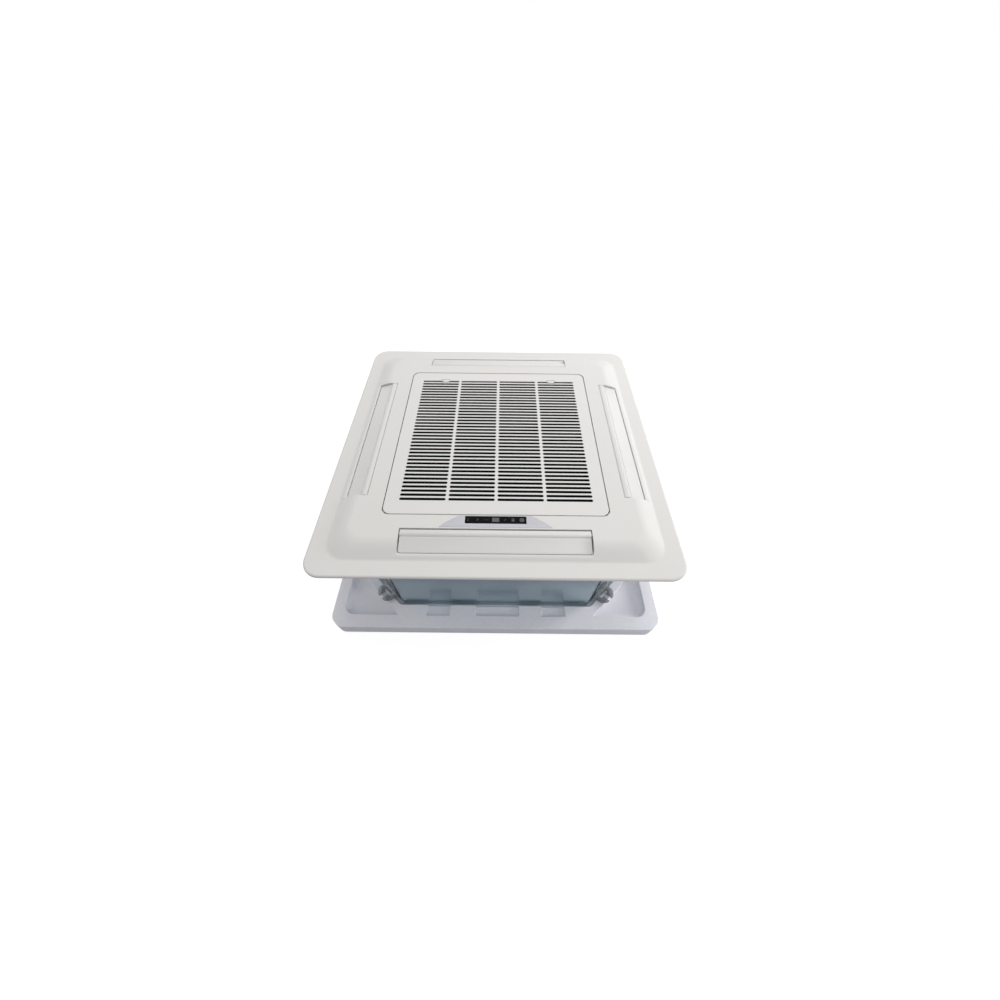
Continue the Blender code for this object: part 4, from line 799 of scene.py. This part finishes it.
grille = {"halfX": 0.300, "halfY": 0.304, "corner": 0.022, "base": 0.3590, "top": 0.3710,
          "rim": 0.0012, "rimTurn": 0.00035, "columns": 4, "rows": 37, "pitch": 0.0142,
          "opening": 0.0083, "border": 0.0382, "mullion": 0.0074, "skin": 0.003, "margin": 0.0030,
          "pocketCorner": 0.004, "undercut": 0.0024, "flare": 0.0004, "roundness": 0.999,
          "pinY": -0.2970, "pinLevel": 0.3680, "pinX": (0.2960, 0.3050), "pinRadius": 0.0015}
latch = {"spacing": 0.368, "width": 0.026, "travel": 0.004, "reach": 0.0074, "play": 0.0008,
         "back": 0.0045, "boltInset": 0.004, "boltTop": 0.3642, "boltRoom": 0.0003,
         "channelRoof": 0.0035, "lift": 0.0002, "soft": 0.0008, "fullness": 0.7}


def makeGrille():
    halfX, halfY, corner, top = (grille[key] for key in ("halfX", "halfY", "corner", "top"))
    rim, turn, base, skin = (grille[key] for key in ("rim", "rimTurn", "base", "skin"))
    plate = loftLoops("intakeGrille", [
        (halfX, halfY, corner, base), (halfX, halfY, corner, top - rim),
        (halfX - turn, halfY - turn, corner - turn, top - turn),
        (halfX - rim, halfY - rim, corner - rim, top)], 12)
    columns, rows, pitch = grille["columns"], grille["rows"], grille["pitch"]
    mullion, margin, flare = grille["mullion"], grille["margin"], grille["flare"]
    length = (2 * (halfX - grille["border"]) - mullion * (columns - 1)) / columns
    half, roundness = grille["opening"] / 2, grille["roundness"]
    nextColumn = (length + mullion, 0, 0)
    firstColumn = -1.5 * (length + mullion)
    # a ribbed pocket from below for each column, and the slots through the skin above it
    wide, deep = length / 2 + margin, (rows - 1) / 2 * pitch + half + margin
    pocket = loftLoops("pocket", [(wide, deep, grille["pocketCorner"], base - 0.01),
                                  (wide, deep, grille["pocketCorner"], top - skin)], 4)
    pocket.location = (firstColumn, 0, 0)
    repeat(applyPlace(pocket), columns, nextColumn)
    cutWith(plate, pocket)
    outline = [(length / 2, half + grille["undercut"], half * roundness, top - skin - 0.001),
               (length / 2, half, half * roundness, top - flare * 1.4)]
    for share, level in ((0.4, top - flare * 0.5), (1.2, top + 0.0003)):
        grow = flare * share
        outline.append((length / 2 + grow, half + grow, (half + grow) * roundness, level))
    slot = loftLoops("slot", outline, 6)
    slot.location = (firstColumn, -(rows - 1) / 2 * pitch, 0)
    repeat(applyPlace(slot), columns, nextColumn)
    repeat(slot, rows, (0, pitch, 0))
    return cutWith(plate, slot)


# a latch, and the room it has in the grille
def makeLatch(plate, side, way):
    low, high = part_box("latch_" + side)
    middle, half, reach = way * latch["spacing"] / 2, latch["width"] / 2, latch["reach"]
    travel, play, inset = latch["travel"], latch["play"], latch["boltInset"]
    floor, front, back = low.z + latch["lift"], low.y, low.y + latch["back"]
    wide = half + play
    cutWith(plate, addBlock("window", (middle - wide, front - reach - travel - play / 2, 0.35),
                            (middle + wide, back + play, 0.38)))
    near = (middle - wide + inset, front - travel - latch["boltRoom"], 0.35)
    far = (middle + wide - inset, high.y + 0.01, high.z - latch["channelRoof"])
    cutWith(plate, addBlock("channel", near, far))
    arch = [(middle - half, back, floor)]
    for angle in range(0, 181, 15):
        turn = math.radians(angle)
        arch.append((middle - half * math.cos(turn),
                     front - reach * math.sin(turn) ** latch["fullness"], floor))
    arch.append((middle + half, back, floor))
    tab = plateShape("latchTab", arch, (0, 0, high.z - floor))
    softenEdges(tab, latch["soft"], 3)
    bolt = addBlock("bolt", (middle - half + inset, front + 0.001, low.z),
                    (middle + half - inset, high.y, latch["boltTop"]))
    cutWith(tab, bolt, operation="UNION")
    finishPiece(tab, side + "_latch", grilleAbs, ["latch_" + side])
    tab.name = "latchTab" + side.title()


plate = makeGrille()
for side, way in (("left", -1), ("right", 1)):
    makeLatch(plate, side, way)
for way in (-1, 1):
    near, far = ((way * x, grille["pinY"], grille["pinLevel"]) for x in grille["pinX"])
    cutWith(plate, addRod("hingePin", near, far, grille["pinRadius"], 20), operation="UNION")
finishPiece(plate, "grille", grilleAbs, ["intake_grille"], 35, True)
print("intake grille")


bracket = {"boltX": 0.340, "boltY": 0.390, "plateIn": -0.01455, "base": 0.0575, "half": 0.031,
           "reach": 0.028, "sheet": 0.0025, "leg": 0.048, "bend": 0.0055, "slotWidth": 0.012,
           "slotLength": 0.030, "nose": 0.015, "turn": 0.006, "shoulder": 0.006, "soft": 0.0004,
           "screwHeight": 0.036, "screwAside": 0.019, "screwRadius": 0.0048, "screwHead": 0.0022}
corners = {"back_right": 45, "back_left": 135, "front_left": 225, "front_right": 315}


def turned(place, degrees):
    angle = math.radians(degrees)
    return (place[0] * math.cos(angle) - place[1] * math.sin(angle),
            place[0] * math.sin(angle) + place[1] * math.cos(angle))


# a pan head with a cross in it, that looks along +X
def makeScrew(name, radius, height):
    head = spinShape(name, [(0, 0), (radius, 0), (radius, height * 0.4),
                            (radius * 0.85, height * 0.8), (radius * 0.5, height), (0, height)], 20)
    for wide, deep in ((1.1, 0.22), (0.22, 1.1)):
        cutWith(head, addBlock("cross", (-radius * wide / 2, -radius * deep / 2, height * 0.45),
                               (radius * wide / 2, radius * deep / 2, height * 1.1)))
    head.rotation_euler = (0, math.radians(90), 0)
    return applyPlace(head)


# a quarter turn of a bend in the sheet, as (outward, level) points
def bendPath(inner, base, radius, angles):
    return [(inner + radius * (1 - math.cos(math.radians(angle))),
             base + radius * (1 - math.sin(math.radians(angle)))) for angle in angles]


def makeBracket():
    inner, base, sheet, bend = (bracket[key] for key in ("plateIn", "base", "sheet", "bend"))
    half, reach, top = bracket["half"], bracket["reach"], base + bracket["leg"]
    nose, shoulder = bracket["nose"], bracket["shoulder"]
    profile = [(inner, top)] + bendPath(inner, base, bend, range(0, 91, 15))
    profile += [(reach, base), (reach, base + sheet)]
    profile += bendPath(inner + sheet, base + sheet, bend - sheet, range(90, -1, -15))
    profile.append((inner + sheet, top))
    piece = plateShape("hangerBracket", [(x, -half, z) for x, z in profile], (0, 2 * half, 0))
    plan = [(inner - 0.01, -half), (reach - nose, -half), (reach, -half + nose),
            (reach, half - nose), (reach - nose, half), (inner - 0.01, half)]
    outline = plateShape("outline", [(x, y, base - 0.01) for x, y in plan],
                         (0, 0, bracket["leg"] + 0.03))
    bevelEdges(outline, lambda a, b: isUpright(a, b) and a.x > 0, bracket["turn"], 5)
    cutWith(piece, outline, operation="INTERSECT")
    face = [(-half - slack, base - slack), (half + slack, base - slack),
            (half + slack, top - shoulder), (half - shoulder, top + slack),
            (-half + shoulder, top + slack), (-half - slack, top - shoulder)]
    cutWith(piece, plateShape("face", [(inner - 0.01, y, z) for y, z in face],
                              (reach + 0.03, 0, 0)), operation="INTERSECT")
    wide, long = bracket["slotWidth"] / 2, bracket["slotLength"] / 2
    slot = addBlock("slot", (-wide, -long, base - 0.01), (wide, long, base + 0.01))
    bevelEdges(slot, isUpright, wide * 0.7, 5)
    mouth = addBlock("mouth", (0, -wide, base - 0.01), (reach + 0.01, wide, base + 0.01))
    cutWith(piece, slot, mouth)
    return softenEdges(piece, bracket["soft"])


firstBracket = makeBracket()
bracketScrew = makeScrew("bracketScrew", bracket["screwRadius"], bracket["screwHead"])
for corner, degrees in corners.items():
    x, y = (math.copysign(bracket[key], way)
            for key, way in zip(("boltX", "boltY"), turned((1, 0), degrees)))
    name = "hangerBracket" + corner.title().replace("_", "")
    parts = [copyPiece(firstBracket, name, degrees, (x, y, 0))]
    for way in (-1, 1):
        outward, aside = turned((bracket["plateIn"] + bracket["sheet"],
                                 way * bracket["screwAside"]), degrees)
        place = (x + outward, y + aside, bracket["base"] + bracket["screwHeight"])
        parts.append(copyPiece(bracketScrew, "screw", degrees, place))
    finishPiece(joinPieces(*parts), "casing", bracketZinc, ["hanger_bracket_" + corner])
dropPieces(firstBracket, bracketScrew)
print("hanger brackets")


cornerSheet = {"out": 0.50134, "half": 0.0745, "sheet": 0.0012, "low": 0.0303, "high": 0.3303,
               "flange": 0.011, "edge": 0.0008, "pipeAside": -0.045, "play": 0.0008,
               "pipes": (("water_inlet_pipe", 0.011), ("water_outlet_pipe", 0.011),
                         ("condensate_outlet", 0.014))}


# flat across a chamfer, with a flange turned in along the rim and holes for the pipes
def makeCornerSheet(corner, degrees):
    out, half, sheet = cornerSheet["out"], cornerSheet["half"], cornerSheet["sheet"]
    low, high, edge = cornerSheet["low"], cornerSheet["high"], cornerSheet["edge"]
    within = out - cornerSheet["flange"]
    profile = [(out, low), (out, high - edge), (out - edge, high), (within, high),
               (within, high - sheet), (out - sheet, high - sheet), (out - sheet, low)]
    piece = plateShape("cornerSheet", [(x, -half, z) for x, z in profile], (0, 2 * half, 0))
    for name, radius in cornerSheet["pipes"] if corner == "back_right" else ():
        pipeLow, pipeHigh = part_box(name)
        aside, level = cornerSheet["pipeAside"], (pipeLow.z + pipeHigh.z) / 2
        cutWith(piece, addRod("hole", (out - 0.03, aside, level), (out + 0.03, aside, level),
                              radius + cornerSheet["play"], 48))
    finishPiece(copyPiece(piece, "cornerSheet" + str(degrees), degrees), "casing", casingSteel,
                ["corner_sheet_" + corner])
    dropPieces(piece)


for corner, degrees in corners.items():
    makeCornerSheet(corner, degrees)
print("corner sheets")


casingScrews = {"out": 0.420, "aside": 0.279, "levels": (0.066, 0.316), "radius": 0.0040,
                "height": 0.0018}
screw = makeScrew("casingScrew", casingScrews["radius"], casingScrews["height"])
heads = []
for degrees in quarters:
    for aside in (-casingScrews["aside"], casingScrews["aside"]):
        for level in casingScrews["levels"]:
            place = (*turned((casingScrews["out"], aside), degrees), level)
            heads.append(copyPiece(screw, "head", degrees, place))
dropPieces(screw)
heads[0].name = "casingScrews"
finishPiece(joinPieces(*heads), "casing", screwZinc, ())
print("screws")


fan = {"radius": 0.225, "base": 0.0663, "top": 0.2403, "hubTop": 0.1523, "wall": 0.0025,
       "eye": 0.158, "hub": 0.076, "boss": 0.018, "bore": 0.0063, "blades": 7,
       "bladeRoot": 0.118, "tipInset": 0.003, "wrap": 62, "bladeWall": 0.006,
       "edgeWall": 0.0015, "steps": 14}
mouth = {"lipRadius": 0.236, "lip": 0.33035, "throat": 0.150, "flare": 0.072, "reach": 0.070,
         "foot": 0.2323, "wall": 0.0025, "steps": 16}


def makeMouth():
    path = [(mouth["lipRadius"], mouth["lip"])]
    for step in range(mouth["steps"] + 1):
        angle = math.radians(90 * step / mouth["steps"])
        path.append((mouth["throat"] + mouth["reach"] * (1 - math.sin(angle)),
                     mouth["lip"] - mouth["flare"] * (1 - math.cos(angle))))
    path.append((mouth["throat"], mouth["foot"]))
    piece = spinShape("bellMouth", wallSection(path, mouth["wall"]), 128)
    finishPiece(piece, "casing", darkPp, ["bell_mouth"], 40)


def makeBlade(space):
    root, thin = fan["bladeRoot"], fan["edgeWall"]
    path, walls = [], []
    for step in range(fan["steps"] + 1):
        share = step / fan["steps"]
        radius = root + (fan["radius"] - fan["tipInset"] - root) * share
        path.append(turned((radius, 0), fan["wrap"] * share ** 1.15))
        fullness = math.sin(math.pi * min(1, share + 0.08 * (1 - share))) ** 0.7
        walls.append(thin + (fan["bladeWall"] - thin) * fullness)
    blade = plateShape("blade", [(x, y, fan["base"]) for x, y in wallSection(path, walls)],
                       (0, 0, fan["top"] - fan["base"]))
    return cutWith(blade, space, operation="INTERSECT")


def makeImpeller():
    base, wall, top, hubTop, hub = (fan[key] for key in ("base", "wall", "top", "hubTop", "hub"))
    radius, eye, boss, bore = (fan[key] for key in ("radius", "eye", "boss", "bore"))
    root = fan["bladeRoot"]
    middle = base + wall / 2
    hubPath = roundPath([(radius, middle), (hub + 0.0152, middle), (hub - 0.0052, hubTop - 0.0185),
                         (hub - 0.0228, hubTop - 0.0053), (boss - 0.002, hubTop - wall / 2)])
    piece = spinShape("fanImpeller", wallSection(hubPath, wall), 128)
    sleeve = spinShape("boss", [(bore, hubTop - 0.012), (boss, hubTop - 0.012),
                                (boss, hubTop + 0.008), (bore, hubTop + 0.008)], 48)
    shroudPath = [(eye, top), (eye + 0.002, top - 0.016), (eye + 0.014, top - 0.031),
                  (eye + 0.040, top - 0.042), (radius, top - 0.046)]
    shroud = spinShape("shroud", wallSection(roundPath(shroudPath, 2), wall), 128)
    # the blades fill the room between the hub and the shroud
    space = spinShape("space", [(root - 0.01, middle), (radius + 0.01, middle),
                                (radius + 0.01, top - 0.0455)] + shroudPath[:0:-1]
                      + [(eye - 0.003, top - 0.030), (root - 0.01, hubTop - 0.012)], 128)
    blade = makeBlade(space)
    blades = [copyPiece(blade, "blade", 360 * number / fan["blades"])
              for number in range(fan["blades"])]
    dropPieces(blade)
    finishPiece(joinPieces(piece, sleeve, shroud, *blades), "fan", fanAbs, ["fan_impeller"],
                40)


makeMouth()
makeImpeller()
print("bell mouth and impeller")


# the floor and the world look white; the light on the object is set apart from that
studio = {"floorGrey": "A8A8B6", "shadowGrey": "A0A0A0", "glow": 0.81, "horizon": 0.24,
          "zenith": 0.75, "skyColour": "FFFEFD", "floorSize": 14, "floorPlace": (0, 3, -0.0005),
          "aim": (0, 0, 0.3),
          # place, size, power, colour, and whether it shows in a gloss
          "lamps": {"highLamp": ((0.2, 1.0, 3.0), 2.0, 30, "FFFFFF", False),
                    "leftLamp": ((-2.4, 0.3, 1.3), 1.2, 3, "FFFFFF", False),
                    "rightLamp": ((2.3, 0.9, 1.3), 1.0, 25, "FFFFFF", False),
                    "lowLamp": ((1.6, -1.1, 0.55), 0.4, 6, "FFFFFF", False),
                    "edgeLamp": ((1.75, 1.8, 1.25), 0.8, 2, "F4F7FF", True)}}


def mixShader(owner, factor, first, second, output):
    mixed = addNode(owner, "MixShader", [(0, factor), (1, first), (2, second)])
    addNode(owner, output, [("Surface", mixed.outputs["Shader"])])


def makeFloor():
    clearSelection()
    bpy.ops.mesh.primitive_plane_add(size=studio["floorSize"], location=studio["floorPlace"])
    floor = bpy.context.object
    floor.name = "floor"
    paper = bpy.data.materials.new("whitePaper")
    paper.use_nodes = True
    paper.node_tree.nodes.clear()
    rays = addNode(paper, "LightPath")
    plain, shaded = (addNode(paper, "BsdfDiffuse",
                             values=[("Color", hexColour(studio[key]))]).outputs["BSDF"]
                     for key in ("floorGrey", "shadowGrey"))
    glow = addNode(paper, "Emission", values=[("Strength", studio["glow"])])
    lifted = addNode(paper, "AddShader", [(0, shaded), (1, glow.outputs["Emission"])])
    mixShader(paper, rays.outputs["Is Camera Ray"], plain, lifted.outputs["Shader"],
              "OutputMaterial")
    floor.data.materials.append(paper)


def makeSky():
    world = bpy.context.scene.world or bpy.data.worlds.new("studio")
    bpy.context.scene.world = world
    world.use_nodes = True
    world.node_tree.nodes.clear()
    rays = addNode(world, "LightPath")
    seen = rays.outputs["Is Camera Ray"]
    for kind in ("Is Glossy Ray", "Is Transmission Ray"):
        seen = addNode(world, "Math", [(0, seen), (1, rays.outputs[kind])],
                       operation="MAXIMUM").outputs["Value"]
    way = addNode(world, "TexCoord").outputs["Generated"]
    height = addNode(world, "SeparateXYZ", [("Vector", way)]).outputs["Z"]
    power = addRange(world, height, studio["horizon"], studio["zenith"])
    soft = addNode(world, "Background", [("Strength", power)],
                   [("Color", hexColour(studio["skyColour"]))]).outputs["Background"]
    white = addNode(world, "Background",
                    values=[("Color", (1, 1, 1, 1)), ("Strength", 1.0)]).outputs["Background"]
    mixShader(world, seen, soft, white, "OutputWorld")


def makeLamps():
    for name, (place, size, power, colour, shines) in studio["lamps"].items():
        bpy.ops.object.light_add(type="AREA", location=place)
        lamp = bpy.context.object
        lamp.name = name
        lamp.data.size = size
        lamp.data.energy = power
        lamp.data.color = hexColour(colour)[:3]
        lamp.visible_glossy = shines
        aim = Vector(studio["aim"]) - Vector(place)
        lamp.rotation_euler = aim.to_track_quat("-Z", "Y").to_euler()


def makeCamera():
    clearSelection()
    bpy.ops.object.camera_add(location=camera["place"])
    view = bpy.context.object
    view.name = "photoCamera"
    yaw, down, roll = (math.radians(camera[key]) for key in ("yaw", "down", "roll"))
    ahead = Vector((math.sin(yaw) * math.cos(down), math.cos(yaw) * math.cos(down),
                    -math.sin(down)))
    side = Vector((math.cos(yaw), -math.sin(yaw), 0))
    up = side.cross(ahead)
    turnedSide = side * math.cos(roll) + up * math.sin(roll)
    turnedUp = up * math.cos(roll) - side * math.sin(roll)
    rows = Matrix((turnedSide, turnedUp, -ahead)).transposed()
    view.matrix_world = Matrix.Translation(camera["place"]) @ rows.to_4x4()
    view.data.sensor_width = camera["sensor"]
    view.data.lens = camera["lens"]
    view.data.clip_start = camera["near"]
    bpy.context.scene.camera = view


makeFloor()
makeSky()
makeLamps()
makeCamera()
bpy.context.scene.view_settings.view_transform = "Standard"
print("studio")
